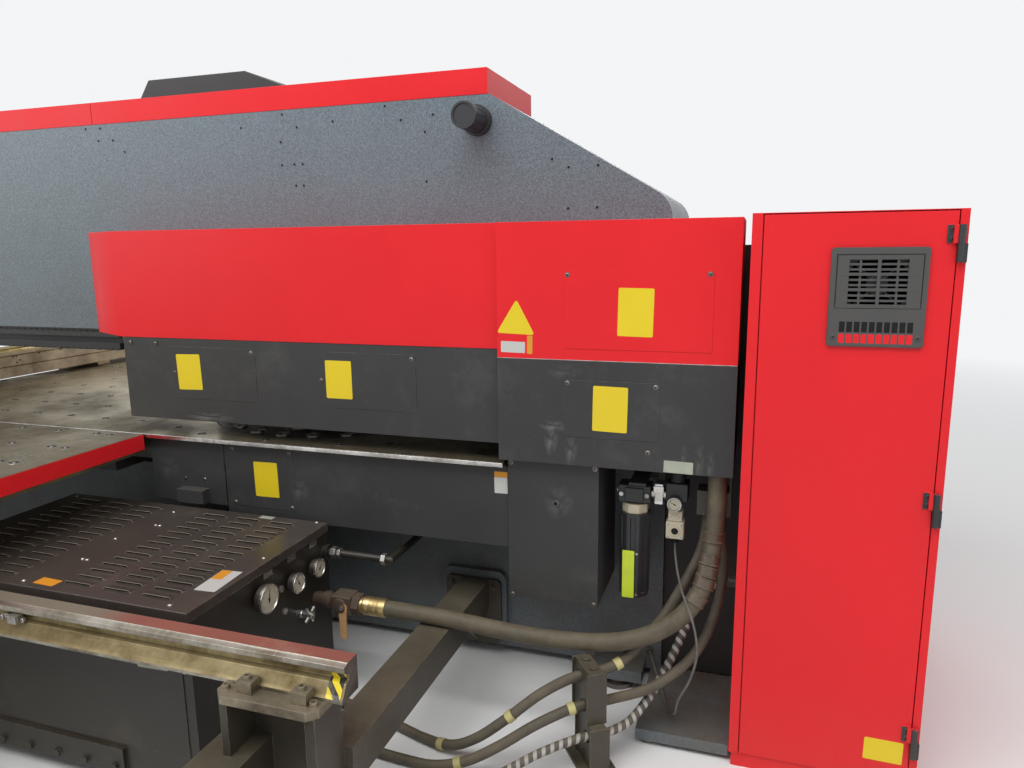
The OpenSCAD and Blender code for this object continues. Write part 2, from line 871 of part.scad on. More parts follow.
module feed_beam() {
    color(steel) {
        prism_y(beam_section(), -beam_half, beam_half);
        both_sides()
            for (y = beam_foot_ys)
                block(beam_x - beam_d + 20, beam_x - 60, -y - 100, -y, table_z, beam_z0);
    }
}

guide_w = 28;
rack_w = 26;

module beam_guides() {
    y = beam_half - 20;
    x1 = beam_x - 12;
    color(bright)
        prism_y([[x1 - guide_w, beam_top_z], [x1, beam_top_z], [x1, beam_top_z + 10], [x1 - 4, beam_top_z + 16],
            [x1, beam_top_z + 22], [x1, guide_top_z], [x1 - guide_w, guide_top_z],
            [x1 - guide_w, beam_top_z + 22], [x1 - guide_w + 4, beam_top_z + 16],
            [x1 - guide_w, beam_top_z + 10]], -y, y);
    color(steel)
        block(x1 - guide_w - 20 - rack_w, x1 - guide_w - 20, -y, y, beam_top_z, beam_top_z + 22);
}

// Ribs under a side table's plate, with one under the line of the outer rail
side_plate_t = 12;
rib_w = 40;
rib_half = 30;
shelf_z = table_z - 150;
inner_rail_w = 40;
inner_rail_h = 30;
cheek_t = 10;
cheek_drop = 26;
pin_r = 10;

module side_ribs(z0, z1) {
    cell = (side_table_x1 - side_table_x0 - 4 * rib_w) / 3;
    difference() {
        block(side_table_x0, side_table_x1, -side_table_y1, -side_table_y0, z0, z1);
        for (k = [0:2]) {
            x = side_table_x0 + rib_w + k * (cell + rib_w);
            block(x, x + cell, -rail_axis_y + rib_half, -side_table_y0 - rib_w, z0 - 1, z1);
            block(x, x + cell, -side_table_y1 + rib_w, -rail_axis_y - rib_half, z0 - 1, z1);
        }
    }
}

module side_table() {
    z1 = table_z - side_plate_t;
    z0 = z1 - side_frame_h;
    half = roller_w / 2 + axial_gap;
    shoe_z = shelf_z + inner_rail_h + axial_gap;
    block(side_table_x0, side_table_x1, -side_table_y1, -side_table_y0, z1, table_z);
    side_ribs(z0, z1);
    for (x = [side_table_x0 + 25, side_table_x0 + 225])
        block(x, x + 90, -side_table_y0 - inner_rail_w, -side_table_y0, shoe_z, z0);
    block(side_table_x0 + 65, side_table_x0 + 185, -rail_axis_y - 20, -rail_axis_y + 20, rail_z + axial_gap, z0);
    block(roller_x - 50, roller_x + 50, -rail_axis_y - half - cheek_t, -rail_axis_y + half + cheek_t,
        z0 - 14, z0);
    for (y = [-rail_axis_y - half - cheek_t, -rail_axis_y + half])
        block(roller_x - 35, roller_x + 35, y, y + cheek_t, roller_z - cheek_drop, z0 - 14);
    bar_y(-rail_axis_y - half, -rail_axis_y + half, roller_x, roller_z, pin_r);
}

module side_table_near() {
    color(steel)
        side_table();
}

module side_table_far() {
    color(steel)
        mirror([0, 1, 0])
            side_table();
}

// Painted edge plates of the side tables
fascia_t = 3;
fascia_h = 63;

module side_fascias() {
    z1 = table_z - 2;
    z0 = z1 - fascia_h;
    color(red_paint)
        both_sides() {
            block(side_table_x1, side_table_x1 + fascia_t, -side_table_y1 - fascia_t, -side_table_y0, z0, z1);
            block(side_table_x0, side_table_x1, -side_table_y1 - fascia_t, -side_table_y1, z0, z1);
        }
}

module side_balls() {
    color(bright)
        both_sides()
            for (y = [-side_table_y0 - 46 : -ball_pitch_y : -side_table_y1 + 46]) {
                ball_transfer(side_table_x1 - 129, y);
                for (x = [for (x = ball_xs) if (x > beam_x + 60) x])
                    ball_transfer(x, y);
            }
}

module roller() {
    color(bright)
        difference() {
            bar_y(-rail_axis_y - roller_w / 2, -rail_axis_y + roller_w / 2, roller_x, roller_z, roller_r);
            bar_y(-rail_axis_y - roller_w, -rail_axis_y + roller_w, roller_x, roller_z, pin_r + running_gap);
        }
}

module roller_near() {
    roller();
}

module roller_far() {
    mirror([0, 1, 0])
        roller();
}

// Section of the clamp carriage: a front plate and a saddle over the beam's guide rail
carriage_front_x = beam_x + 65;
carriage_z0 = table_z + 60;
carriage_top_z = guide_top_z + 18;
saddle_z = beam_top_z + 5;

function carriage_section() =
    let (r1 = beam_x - 12 + carriage_gap, r0 = beam_x - 12 - guide_w - carriage_gap,
        top = guide_top_z + carriage_gap) [
        [beam_x + 5, carriage_z0], [carriage_front_x, carriage_z0],
        [carriage_front_x, carriage_top_z - 12], [carriage_front_x - 12, carriage_top_z],
        [r0 - 16, carriage_top_z], [r0 - 16, saddle_z], [r0, saddle_z], [r0, top],
        [r1, top], [r1, saddle_z], [beam_x + 5, saddle_z]];

module clamp_carriage() {
    y1 = carriage_y0 + carriage_l;
    drive_y0 = carriage_y0 + carriage_l / 2 + 60;
    color(steel) {
        prism_y(carriage_section(), carriage_y0, y1);
        block(beam_x - 95, beam_x + 20, drive_y0, drive_y0 + 140, carriage_top_z, carriage_top_z + 45);
    }
}

// Clamps that hold the sheet's edge: a fixed lower jaw with two cheeks and a pin
clamp_reach = 261;
jaw_z0 = table_z + 3;
jaw_t = 10;
clamp_cheek_t = 14;
jaw_pin_r = 6;
lug_t = 18;
lug_h = 70;

function clamp_ys() = [for (i = [0:clamps - 1])
    carriage_y0 + 200 + i * (carriage_l - 400) / (clamps - 1)];

module clamp_bodies() {
    x1 = beam_x + clamp_reach;
    color(steel)
        for (y = clamp_ys()) {
            y0 = y - clamp_w / 2;
            prism_y([[carriage_front_x, jaw_z0], [x1, jaw_z0], [x1, jaw_z0 + 6], [x1 - 16, jaw_z0 + jaw_t],
                [jaw_pin_x - 25, jaw_z0 + jaw_t], [jaw_pin_x - 25, jaw_pin_z + 15],
                [carriage_front_x + lug_t, jaw_pin_z + 15], [carriage_front_x + lug_t, carriage_z0 + lug_h],
                [carriage_front_x, carriage_z0 + lug_h]], y0, y0 + clamp_w);
            for (ya = [y0, y0 + clamp_w - clamp_cheek_t])
                prism_y([[jaw_pin_x - 25, jaw_z0 + jaw_t], [jaw_pin_x + 25, jaw_z0 + jaw_t],
                    [jaw_pin_x + 18, jaw_pin_z + 9], [jaw_pin_x + 8, jaw_pin_z + 15],
                    [jaw_pin_x - 25, jaw_pin_z + 15]], ya, ya + clamp_cheek_t);
            bar_y(y0 + clamp_cheek_t, y0 + clamp_w - clamp_cheek_t, jaw_pin_x, jaw_pin_z, jaw_pin_r);
        }
}

module clamp_jaws() {
    x1 = beam_x + clamp_reach - 3;
    inset = clamp_cheek_t + 0.5;
    color(bright)
        for (y = clamp_ys())
            difference() {
                prism_y([[jaw_pin_x - 19, jaw_pin_z - 16], [jaw_pin_x, jaw_pin_z - 18],
                    [jaw_pin_x + 10, jaw_z0 + jaw_t + 3], [x1, jaw_z0 + jaw_t + 3], [x1, jaw_z0 + jaw_t + 14],
                    [x1 - 50, jaw_pin_z + 8], [jaw_pin_x + 8, jaw_pin_z + 13], [jaw_pin_x - 19, jaw_pin_z + 13]],
                    y - clamp_w / 2 + inset, y + clamp_w / 2 - inset);
                bar_y(y - clamp_w, y + clamp_w, jaw_pin_x, jaw_pin_z, jaw_pin_r + running_gap);
            }
}

// Cable chain under the frame's edge: two ribbed runs joined by a bend
chain_x0 = throat_x0 + 155;
chain_x1 = long_cover_x0 - 365;
chain_y0 = -325;
chain_w = 70;
chain_h = 34;
chain_pitch = 40;
chain_notch = 5;
chain_top_z = upper_beam_z - 8;
chain_bend_r = 48;

function chain_run(n, x, z, step, notch) = [for (i = [0:n - 1]) for (p =
    [[0, 0], [step * 0.7, 0], [step * 0.7, notch], [step, notch]]) [x + step * i + p[0], z + p[1]]];

function chain_outline() =
    let (n = floor((chain_x1 - chain_x0) / chain_pitch), zc = chain_top_z - chain_bend_r,
        xe = chain_x1 - n * chain_pitch, teeth = 5) concat(
        chain_run(n, chain_x1, chain_top_z, -chain_pitch, -chain_notch),
        [for (k = [0:teeth - 1]) for (p = [[0, 0], [0.7, 0], [0.7, 1], [1, 1]])
            let (a = 90 + (k + p[0]) * 180 / teeth, r = chain_bend_r - p[1] * chain_notch)
            [xe + r * cos(a), zc + r * sin(a)]],
        chain_run(n, xe, zc - chain_bend_r, chain_pitch, chain_notch),
        [[chain_x1, zc - chain_bend_r + chain_h]],
        arc(xe, zc, chain_bend_r - chain_h, -90, -270, 6),
        [[chain_x1, chain_top_z - chain_h]]);

module cable_chain() {
    color([0.12, 0.12, 0.12]) {
        prism_y(chain_outline(), chain_y0, chain_y0 + chain_w);
        block(chain_x0 - 60, chain_x1, chain_y0 - 10, chain_y0 + chain_w + 10, chain_top_z, upper_beam_z);
    }
}

// Section of an outer rail on the far side: back strip, worn head, web and foot
function rail_section() = [
    [rail_y, rail_z0], [rail_y, rail_z], [rail_y + 48, rail_z], [rail_y + 52, rail_z - 3],
    [rail_y + 66, rail_z - 6], [rail_y + 66, rail_z - 22], [rail_y + 58, rail_z - 28],
    [rail_y + 45, rail_z - 35], [rail_y + 45, rail_z0 + 50], [rail_y + 60, rail_z0 + 45],
    [rail_y + 76, rail_z0 + 18], [rail_y + rail_w, rail_z0 + 10], [rail_y + rail_w, rail_z0]];

module feed_rails() {
    color(steel)
        both_sides() {
            mirror([0, 1, 0])
                prism_x(rail_section(), rail_x0, rail_x1);
            block(side_table_x0 - 40, shelf_x1 - 10, -side_table_y0 - inner_rail_w, -side_table_y0,
                shelf_z, shelf_z + inner_rail_h);
        }
}

// Seats of the outer rails: a plate with cut corners, two clips over the rail's foot, and screws
seat_t = 25;
seat_w = 153;
seat_chamfer = 26;
clip_w = 48;
clip_h = 35;
screw_r = 11;

module socket_screw(x, y, z, h) {
    difference() {
        bar_z(z, z + h, x, y, screw_r);
        translate([x, y, z + h / 2])
            cylinder(r = screw_r * 0.55, h = h, $fn = 6);
    }
}

module rail_seat(x) {
    y1 = rail_y - 10;
    y0 = y1 + seat_w;
    foot = rail_y + rail_w;
    prism_z(chamfered(x - seat_l / 2, x + seat_l / 2, -y0, -y1, seat_chamfer), rail_z0 - seat_t, rail_z0);
    for (dx = [-70, 98]) {
        mirror([0, 1, 0])
            prism_x([[foot + 1, rail_z0], [foot + 35, rail_z0], [foot + 35, rail_z0 + clip_h],
                [foot - 6, rail_z0 + clip_h], [foot - 6, rail_z0 + 18], [foot + 1, rail_z0 + 12]],
                x + dx - clip_w / 2, x + dx + clip_w / 2);
        socket_screw(x + dx, -foot - 16, rail_z0 + clip_h, 12);
    }
    for (dx = [-seat_l / 2 + 22, seat_l / 2 - 22])
        socket_screw(x + dx, -y0 + 36, rail_z0, 12);
}

module rail_seats() {
    color(steel)
        both_sides()
            for (x = support_xs)
                rail_seat(x);
}

// A support: flange and square arm off the frame, a post under the seat, a tube that runs on to its foot
flange_t = 20;
arm_y0 = frame_half + boss_t + flange_t;
arm_depth = 120;
post_wall = 15;
tube_w = 146;
tube_z0 = 200;

module support_arm(x) {
    seat_z = rail_z0 - seat_t;
    post_y0 = rail_y + post_wall;
    post_y1 = rail_y + 130;
    arm_x0 = x + 59;
    prism_y(chamfered(x - 14, x + 226, boss_z0 + 10, arm_z, 14), -arm_y0, -arm_y0 + flange_t);
    block(arm_x0, arm_x0 + arm_w, -rail_y, -arm_y0, arm_z - arm_depth, arm_z);
    prism_x([[-arm_y0, boss_z0 + 20], [-arm_y0, arm_z - arm_depth], [-arm_y0 - 160, arm_z - arm_depth]],
        arm_x0 + arm_w / 2 - 8, arm_x0 + arm_w / 2 + 8);
    for (dx = [14, 198])
        for (z = [arm_z - 32, boss_z0 + 46])
            translate([x + dx, -arm_y0, z])
                rotate([90, 0, 0])
                    socket_screw(0, 0, 0, 12);
    block(x - seat_l / 2 + 12, x + seat_l / 2 - 8, -post_y0, -rail_y, 0, seat_z);
    block(x - seat_l / 2 + 12, x - seat_l / 2 + 36, -post_y1, -post_y0, 0, seat_z);
    block(x + seat_l / 2 - 38, x + seat_l / 2 - 8, -post_y1, -post_y0, 0, seat_z);
    block(x - 218, x - 218 + tube_w, -post_y0 - outrigger_l, -post_y0, tube_z0, arm_z);
    block(x - 218, x - 218 + tube_w, -post_y0 - outrigger_l, -post_y0 - outrigger_l + 12, 12, tube_z0);
    block(x - 238, x - 198 + tube_w, -post_y0 - outrigger_l, -post_y0 - outrigger_l + 120, 0, 12);
}

module support_arms_near() {
    color(dark_paint)
        for (x = support_xs)
            support_arm(x);
}

module support_arms_far() {
    color(dark_paint)
        mirror([0, 1, 0])
            for (x = support_xs)
                support_arm(x);
}

// Tank of the power unit, with its feet, front panel, access flange, hose ports and return pipe
tank_inset = 4;
tank_x1 = power_x1 - tank_inset;
sheet_t = 3;
port_z = 60;
port_ys = [-885, -1035, -1175];
pipe_y = -714;
pipe_z = 540;
pipe_x1 = power_x1 + 280;

module power_tank() {
    x0 = power_x0 + tank_inset;
    y0 = -power_y0 + tank_inset;
    y1 = -power_y1 - tank_inset;
    color([0.17, 0.15, 0.14]) {
        block(x0, tank_x1, y0, y1, 40, lid_z - sheet_t);
        for (x = [x0 + 20, tank_x1 - 120])
            for (y = [y0 + 20, y1 - 120])
                block(x, x + 100, y, y + 100, 0, 40);
        block(x0 + 30, tank_x1 - 34, y0 - 3, y0, 160, 600);
        block(x0 + 60, power_x1 - 298, y0 - 12, y0, 52, 143);
        for (x = [x0 + 100 : 120 : power_x1 - 330])
            translate([x, y0 - 12, 76])
                rotate([90, 0, 0])
                    hex_head(0, 0, 0, 13, 9);
        for (y = port_ys)
            bar_x(tank_x1, power_x1 + 5, y, port_z, small_hose_d / 2 + 7);
        bar_x(tank_x1, power_x1 + 14, pipe_y, pipe_z, 28);
        bar_x(power_x1 + 14, pipe_x1, pipe_y, pipe_z, 14);
        translate([pipe_x1, pipe_y, pipe_z])
            sphere(r = 15);
        bar_y(pipe_y, -frame_half - 8, pipe_x1, pipe_z, 14);
        bar_y(-frame_half - 8, -frame_half, pipe_x1, pipe_z, 32);
    }
}

// Louvred lid: pressed hoods open on one side, six columns on one sheet with a folded skirt
louvre_xs = [power_x1 - 164, power_x1 - 320, power_x1 - 478, power_x1 - 802, power_x1 - 960, power_x1 - 1116];
louvre_y0 = -power_y0 + 72;
hood_half = 14;
hood_steps = 5;
cap_w = 3;

// Rise of a hood's skin across the louvre, from its root to its open lip
function hood(y, z, h) = [for (i = [0:hood_steps]) let (s = i / hood_steps)
    [y - hood_half + 2 * hood_half * s, z + h * (1 - cos(180 * s)) / 2]];
function reversed(p) = [for (i = [len(p) - 1 : -1 : 0]) p[i]];

// The sheet cut across one louvre, from the lip of the one before
function louvre_piece(y, y_before) = concat(
    [[y_before, lid_z - sheet_t]], hood(y, lid_z - sheet_t, louvre_h),
    reversed(hood(y, lid_z, louvre_h)), [[y_before, lid_z]]);

module louvre_column(x) {
    half = louvre_l / 2;
    y_end = louvre_y0 + (louvres - 1) * louvre_pitch + hood_half;
    for (k = [0:louvres - 1]) {
        y = louvre_y0 + k * louvre_pitch;
        y_before = k == 0 ? louvre_y0 - hood_half - 8 : y - louvre_pitch + hood_half;
        prism_x(louvre_piece(y, y_before), x - half + cap_w, x + half - cap_w);
        for (xa = [x - half, x + half - cap_w])
            prism_x(concat([[y + hood_half, lid_z]], reversed(hood(y, lid_z, louvre_h))), xa, xa + cap_w);
    }
    block(x - half + cap_w, x + half - cap_w, y_end, y_end + 8, lid_z - sheet_t, lid_z);
}

module power_lid() {
    half = louvre_l / 2 - cap_w;
    y_end = louvre_y0 + (louvres - 1) * louvre_pitch + hood_half + 8;
    color([0.20, 0.17, 0.15]) {
        difference() {
            block(power_x0, power_x1, -power_y0, -power_y1, lid_z - lid_skirt, lid_z);
            block(power_x0 + tank_inset, tank_x1, -power_y0 + tank_inset, -power_y1 - tank_inset,
                lid_z - lid_skirt - 1, lid_z - sheet_t);
            for (x = louvre_xs)
                block(x - half, x + half, louvre_y0 - hood_half - 8, y_end, lid_z - sheet_t - 1, lid_z + 1);
        }
        for (x = louvre_xs)
            louvre_column(x);
    }
}

// Pressure gauges on the tank's right face, each a case with a rim round its dial
gauges = [[-1126, 543, 50], [-954, 522, 37], [-820, 521, 35]];

module gauge_case(r, depth) {
    rotate_extrude()
        polygon([[0, 0], [r - 6, 0], [r - 4, 4], [r - 4, depth - 10], [r, depth - 10], [r, depth - 1],
            [r - 1, depth], [r - 5, depth], [r - 6, depth - 3], [0, depth - 3]]);
}

module pressure_gauges() {
    color(steel)
        for (g = gauges) {
            bar_x(tank_x1, power_x1 + 8, g[0], g[1], 9);
            translate([power_x1 + 8, g[0], g[1]])
                rotate([0, 90, 0])
                    gauge_case(g[2], 32);
        }
}

// Shut-off valve, union and ferrule at the tank end of the main hose, and the vent valve beside it
lever_y = hose_y - 38;
lever_r = 8;
vent_y = -914;
vent_z = 380;
hose_x0 = power_x1 + 300;

module shutoff_valve() {
    color(steel) {
        bar_x(tank_x1, lever_x - 55, hose_y, hose_z, 26);
        block(lever_x - 55, lever_x + 30, hose_y - 38, hose_y + 38, hose_z - 38, hose_z + 38);
        bar_y(lever_y - 16, lever_y, lever_x, hose_z, lever_r);
        translate([lever_x + 30, hose_y, hose_z])
            rotate([0, 90, 0])
                cylinder(r = 42, h = 30, $fn = 6);
        bar_x(lever_x + 60, lever_x + 70, hose_y, hose_z, hose_d / 2);
    }
    color(brass)
        bar_x(lever_x + 70, hose_x0, hose_y, hose_z, hose_d / 2 + 5);
    color(steel) {
        bar_x(tank_x1, power_x1 + 24, vent_y, vent_z, 15);
        bar_x(power_x1 + 24, power_x1 + 62, vent_y, vent_z, lever_r);
    }
}

// Flat lever that hangs from the valve's stem when the valve is open
lever_l = 130;
lever_t = 6;

module shutoff_lever() {
    color([0.72, 0.52, 0.33])
        difference() {
            translate([lever_x, lever_y - axial_gap, hose_z])
                rotate([90, 0, 0])
                    linear_extrude(lever_t)
                        polygon(concat(arc(0, 0, 18, 0, 180, 8),
                            [[-15, -40], [-13, -lever_l + 12]], arc(0, -lever_l + 10, 10, 180, 360, 6),
                            [[13, -lever_l + 12], [15, -40]]));
            bar_y(lever_y - lever_t - 5, lever_y + 1, lever_x, hose_z, lever_r + running_gap);
        }
}

// Cross handle of the vent valve
module vent_handle() {
    x0 = power_x1 + 24 + axial_gap;
    color(bright)
        difference() {
            union() {
                bar_x(x0, x0 + 34, vent_y, vent_z, 15);
                for (a = [30, 120])
                    translate([x0 + 20, vent_y, vent_z])
                        rotate([a, 0, 0])
                            translate([0, 0, -34])
                                cylinder(r = 6, h = 68);
            }
            bar_x(x0 - 1, x0 + 40, vent_y, vent_z, lever_r + running_gap);
        }
}

// Air filter under the drive cover: head, brass ring and bowl guard, on a bracket from the frame
filter_x = drive_cover_x0 + 462;
filter_top_z = 882;
filter_bowl_z = 474;

module air_filter() {
    bracket_z = filter_top_z + 10;
    color(dark_paint) {
        block(filter_x - 57, filter_x + 57, air_y - 38, air_y + 38, filter_top_z - 63, filter_top_z);
        prism_y(chamfered(filter_x - 32, filter_x + 32, filter_top_z - 58, filter_top_z - 8, 10),
            air_y - 46, air_y - 38);
        bar_z(filter_top_z - 68, filter_top_z - 63, filter_x, air_y, 32);
        translate([filter_x, air_y, filter_bowl_z])
            rotate([0, 0, 22.5])
                difference() {
                    cylinder(r = 57, h = 306, $fn = 8);
                    for (a = [22.5 : 45 : 337.5])
                        rotate([0, 0, a])
                            translate([52, -9, 24])
                                cube([12, 18, 226]);
                }
        block(filter_x - 20, filter_x + 40, air_y - 38, -frame_half - 6, filter_top_z, bracket_z);
        block(filter_x - 30, filter_x + 50, -frame_half - 6, -frame_half, filter_top_z - 50, filter_top_z + 70);
    }
    color(brass)
        translate([filter_x, air_y, filter_bowl_z + 306])
            cylinder(r = 47, h = filter_top_z - 68 - filter_bowl_z - 306, $fn = 8);
}

// Regulator beside the filter, joined by a bright coupling, with its own small gauge
regulator_x0 = filter_x + 107;
regulator_w = 75;
small_gauge_r = 25;

module air_regulator() {
    x0 = filter_x + 57;
    xc = regulator_x0 + regulator_w / 2;
    color(bright) {
        block(x0 + 12, x0 + 41, air_y - 34, air_y + 26, filter_top_z - 62, filter_top_z + 11);
        bar_x(x0, x0 + 12, air_y, filter_top_z - 32, 20);
        bar_x(x0 + 41, regulator_x0, air_y, filter_top_z - 32, 20);
    }
    color(dark_paint) {
        block(regulator_x0, regulator_x0 + regulator_w, air_y - 36, air_y + 36, filter_top_z - 47, filter_top_z + 18);
        bar_z(filter_top_z + 18, filter_top_z + 48, xc, air_y, 28);
    }
    color(bright)
        translate([xc - 5, air_y - 36, filter_top_z - 50])
            rotate([90, 0, 0])
                gauge_case(small_gauge_r, 22);
}

// Pressure switch hung under the regulator, with the gland of its cable
switch_x = filter_x + 142;
switch_z0 = 703;
switch_h = 100;
switch_cable_y = air_y - 15;

module pressure_switch() {
    y0 = air_y - 42;
    color([0.72, 0.68, 0.60]) {
        difference() {
            block(switch_x - 31, switch_x + 30, y0, air_y + 12, switch_z0, switch_z0 + 62);
            bar_y(y0 - 1, y0 + 6, switch_x, switch_z0 + 30, 17);
        }
        block(switch_x - 24, switch_x + 24, y0 + 6, air_y + 12, switch_z0 + 62, switch_z0 + switch_h);
        bar_z(switch_z0 + switch_h, filter_top_z - 47, switch_x, air_y, 14);
    }
    color([0.25, 0.25, 0.25]) {
        bar_z(switch_z0 - 8, switch_z0, switch_x, switch_cable_y, 13);
        bar_z(switch_z0 - 20, switch_z0 - 8, switch_x, switch_cable_y, 9);
    }
}

// Brackets that hold the hoses: a block under the drive cover, the manifold inside it, the floor clamp
lip = 10;
hose_block_z = 800;
manifold_x = drive_cover_x1 - 49;
manifold_y = -660;
manifold_z = 1000;
clamp_turn = 35;
clamp_at = [1930, -890, 0];
clamp_bores = [[30, 300], [0, 210], [-30, 115]];
hose_play = 2.4;

module floor_clamp() {
    translate(clamp_at)
        rotate([0, 0, clamp_turn]) {
            difference() {
                union() {
                    block(-26, 26, -74, 46, 12, 165);
                    block(-26, 26, -46, 74, 165, 345);
                    block(-35, 35, -80, -74, 12, 165);
                    block(-35, 35, 46, 52, 12, 165);
                    block(-35, 35, -52, -46, 165, 345);
                    block(-35, 35, 74, 80, 165, 345);
                }
                for (b = clamp_bores)
                    bar_x(-40, 40, b[0], b[1], small_hose_d / 2 + hose_play);
            }
            block(-60, 60, -90, 90, 0, 12);
            for (y = [-20, 40])
                bar_z(345, 353, 0, y, 12);
        }
}

module hose_clamps() {
    wall_x = drive_cover_x1 - cover_t;
    color(dark_paint) {
        block(wall_x - 112.5, wall_x - 2, air_y - 40, air_y + 40, hose_block_z, hose_block_z + 85);
        block(wall_x - 9, wall_x - 2, air_y - 40, air_y + 40, hose_block_z + 85, drive_dark_z);
        block(manifold_x - 67, wall_x, manifold_y - 40, manifold_y + 40, manifold_z, manifold_z + 60);
        bar_z(manifold_z - 40, manifold_z, manifold_x, manifold_y, hose_d / 2);
        bar_x(cab_x0 - 30, cab_x0, -500, 520, 24);
        bar_y(-frame_half - 12, -frame_half, frame_x1 - 43, 120, 14);
        floor_clamp();
    }
}

// Routes of the hoses and the cable, point by point
main_hose_route = [[1140, -795, 385], [1240, -795, 384], [1340, -795, 382], [1450, -796, 378],
    [1570, -797, 371], [1690, -798, 367], [1810, -799, 370], [1930, -798, 381], [2040, -794, 405],
    [2140, -781, 450], [2215, -760, 512], [2265, -728, 592], [2287, -690, 700], [2297, -665, 830],
    [2297, -660, 960]];
floor_hose_1_route = [[2262, -570, 800], [2259, -572, 725], [2240, -584, 640], [2200, -615, 555],
    [2150, -667, 468], [2090, -724, 390], [2022, -787, 328], [1970, -825, 306], [1913, -865, 300],
    [1856, -905, 293], [1770, -957, 252], [1670, -1000, 172], [1570, -1015, 92], [1470, -1005, 38],
    [1340, -968, 18], [1180, -920, 18], [1000, -890, 34], [845, -885, 60]];
floor_hose_2_route = [[2305, -570, 800], [2315, -575, 720], [2324, -588, 630], [2320, -612, 540],
    [2300, -648, 450], [2262, -690, 362], [2200, -735, 293], [2110, -788, 238], [1987, -850, 212],
    [1930, -890, 210], [1873, -930, 206], [1770, -998, 170], [1660, -1050, 105], [1550, -1082, 48],
    [1420, -1096, 18], [1230, -1085, 18], [1030, -1050, 34], [845, -1035, 60]];
floor_hose_3_route = [[2340, -500, 520], [2300, -504, 512], [2255, -535, 472], [2215, -595, 400],
    [2170, -670, 300], [2120, -745, 212], [2060, -825, 142], [2004, -875, 118], [1947, -915, 115],
    [1890, -955, 113], [1790, -1025, 90], [1680, -1095, 45], [1560, -1155, 16], [1380, -1190, 15],
    [1100, -1180, 15], [845, -1175, 60]];
switch_cable_route = [[2160, -585, 683], [2162, -590, 645], [2176, -640, 600], [2196, -712, 574],
    [2216, -778, 562], [2240, -826, 532], [2258, -852, 480], [2262, -856, 410], [2240, -828, 310],
    [2204, -785, 210], [2188, -735, 125], [2150, -610, 68], [2052, -352, 120]];

// A tube swept along a route: rings of corners square to the route, joined by triangles
sweep_sides = 8;
function unit(v) = v / norm(v);
function tangent(p, i) = unit(p[min(i + 1, len(p) - 1)] - p[max(i - 1, 0)]);
function ring(p, i, r, up) = let (s = unit(cross(tangent(p, i), up)), u = cross(s, tangent(p, i)))
    [for (k = [0:sweep_sides - 1]) p[i] + r * (cos(360 * k / sweep_sides) * s + sin(360 * k / sweep_sides) * u)];

module swept_tube(p, r, up) {
    n = sweep_sides;
    last = (len(p) - 1) * n;
    polyhedron(
        points = [for (i = [0:len(p) - 1]) each ring(p, i, r, up)],
        faces = concat(
            [[for (k = [0:n - 1]) k]],
            [for (i = [0:len(p) - 2]) for (k = [0:n - 1]) each [
                [i * n + k, (i + 1) * n + k, (i + 1) * n + (k + 1) % n],
                [i * n + k, (i + 1) * n + (k + 1) % n, i * n + (k + 1) % n]]],
            [[for (k = [n - 1:-1:0]) last + k]]));
}

module main_hose() {
    color(rubber)
        swept_tube(main_hose_route, hose_d / 2, [0, 1, 0]);
}

module switch_cable() {
    color(rubber)
        swept_tube(switch_cable_route, 4, [0.9, 0.3, 0.1]);
}

module floor_hose_1() {
    color(rubber)
        swept_tube(floor_hose_1_route, small_hose_d / 2, [0.5, -0.7, 0.5]);
}

module floor_hose_2() {
    color(rubber)
        swept_tube(floor_hose_2_route, small_hose_d / 2, [0.5, -0.7, 0.5]);
}

module floor_hose_3() {
    color([0.10, 0.10, 0.10])
        swept_tube(floor_hose_3_route, 14, [0.5, -0.7, 0.5]);
}

// Cabinet: a plinth, a sheet body open at the front and a mounting plate inside
back_plate_t = 5;

module cabinet_body() {
    y0 = cab_y0;
    y1 = y0 + cab_d;
    w = cab_wall;
    x0 = door_x0 - door_gap;
    x1 = door_x1 + door_gap;
    color(red_paint) {
        difference() {
            block(cab_x0, cab_x1, y0, y1, plinth_h, cab_h);
            block(cab_x0 + w, cab_x1 - w, y0 + door_t + w, y1 - w, plinth_h + w, cab_h - w);
            block(x0, x1, y0 - 1, y0 + door_t, plinth_h, cab_h - w);
            block(x0 + 20, x1 - 20, y0, y0 + door_t + w + 1, plinth_h + 20, cab_h - w - 20);
        }
        block(cab_x0 + 8, cab_x1 - 8, y0 + 8, y1 - 8, 0, plinth_h);
    }
    color(steel) {
        block(cab_x0 + 60, cab_x1 - 60, y1 - 80, y1 - 80 + back_plate_t, 140, cab_h - 120);
        for (x = [cab_x0 + 90, cab_x1 - 90])
            for (z = [200, cab_h - 180])
                bar_y(y1 - 80 + back_plate_t, y1 - w, x, z, 12);
    }
}

// Moving halves of the hinges belong to the door: a leaf on its face and a knuckle over the pin
knuckle_l = 50;
hinge_pin_r = 4;
leaf_t = 3;

module door_knuckle(z) {
    difference() {
        union() {
            bar_z(z, z + knuckle_l, hinge_x, hinge_y, knuckle_r);
            block(door_x1 - 26, door_x1, cab_y0 - leaf_t, cab_y0, z, z + knuckle_l);
            block(door_x1 - 12, hinge_x, hinge_y - 2, hinge_y + 2, z, z + knuckle_l);
            block(door_x1 - 12, door_x1 - 6, hinge_y + 2, cab_y0 - leaf_t, z, z + knuckle_l);
        }
        bar_z(z - 1, z + knuckle_l + 1, hinge_x, hinge_y, hinge_pin_r + running_gap);
    }
}

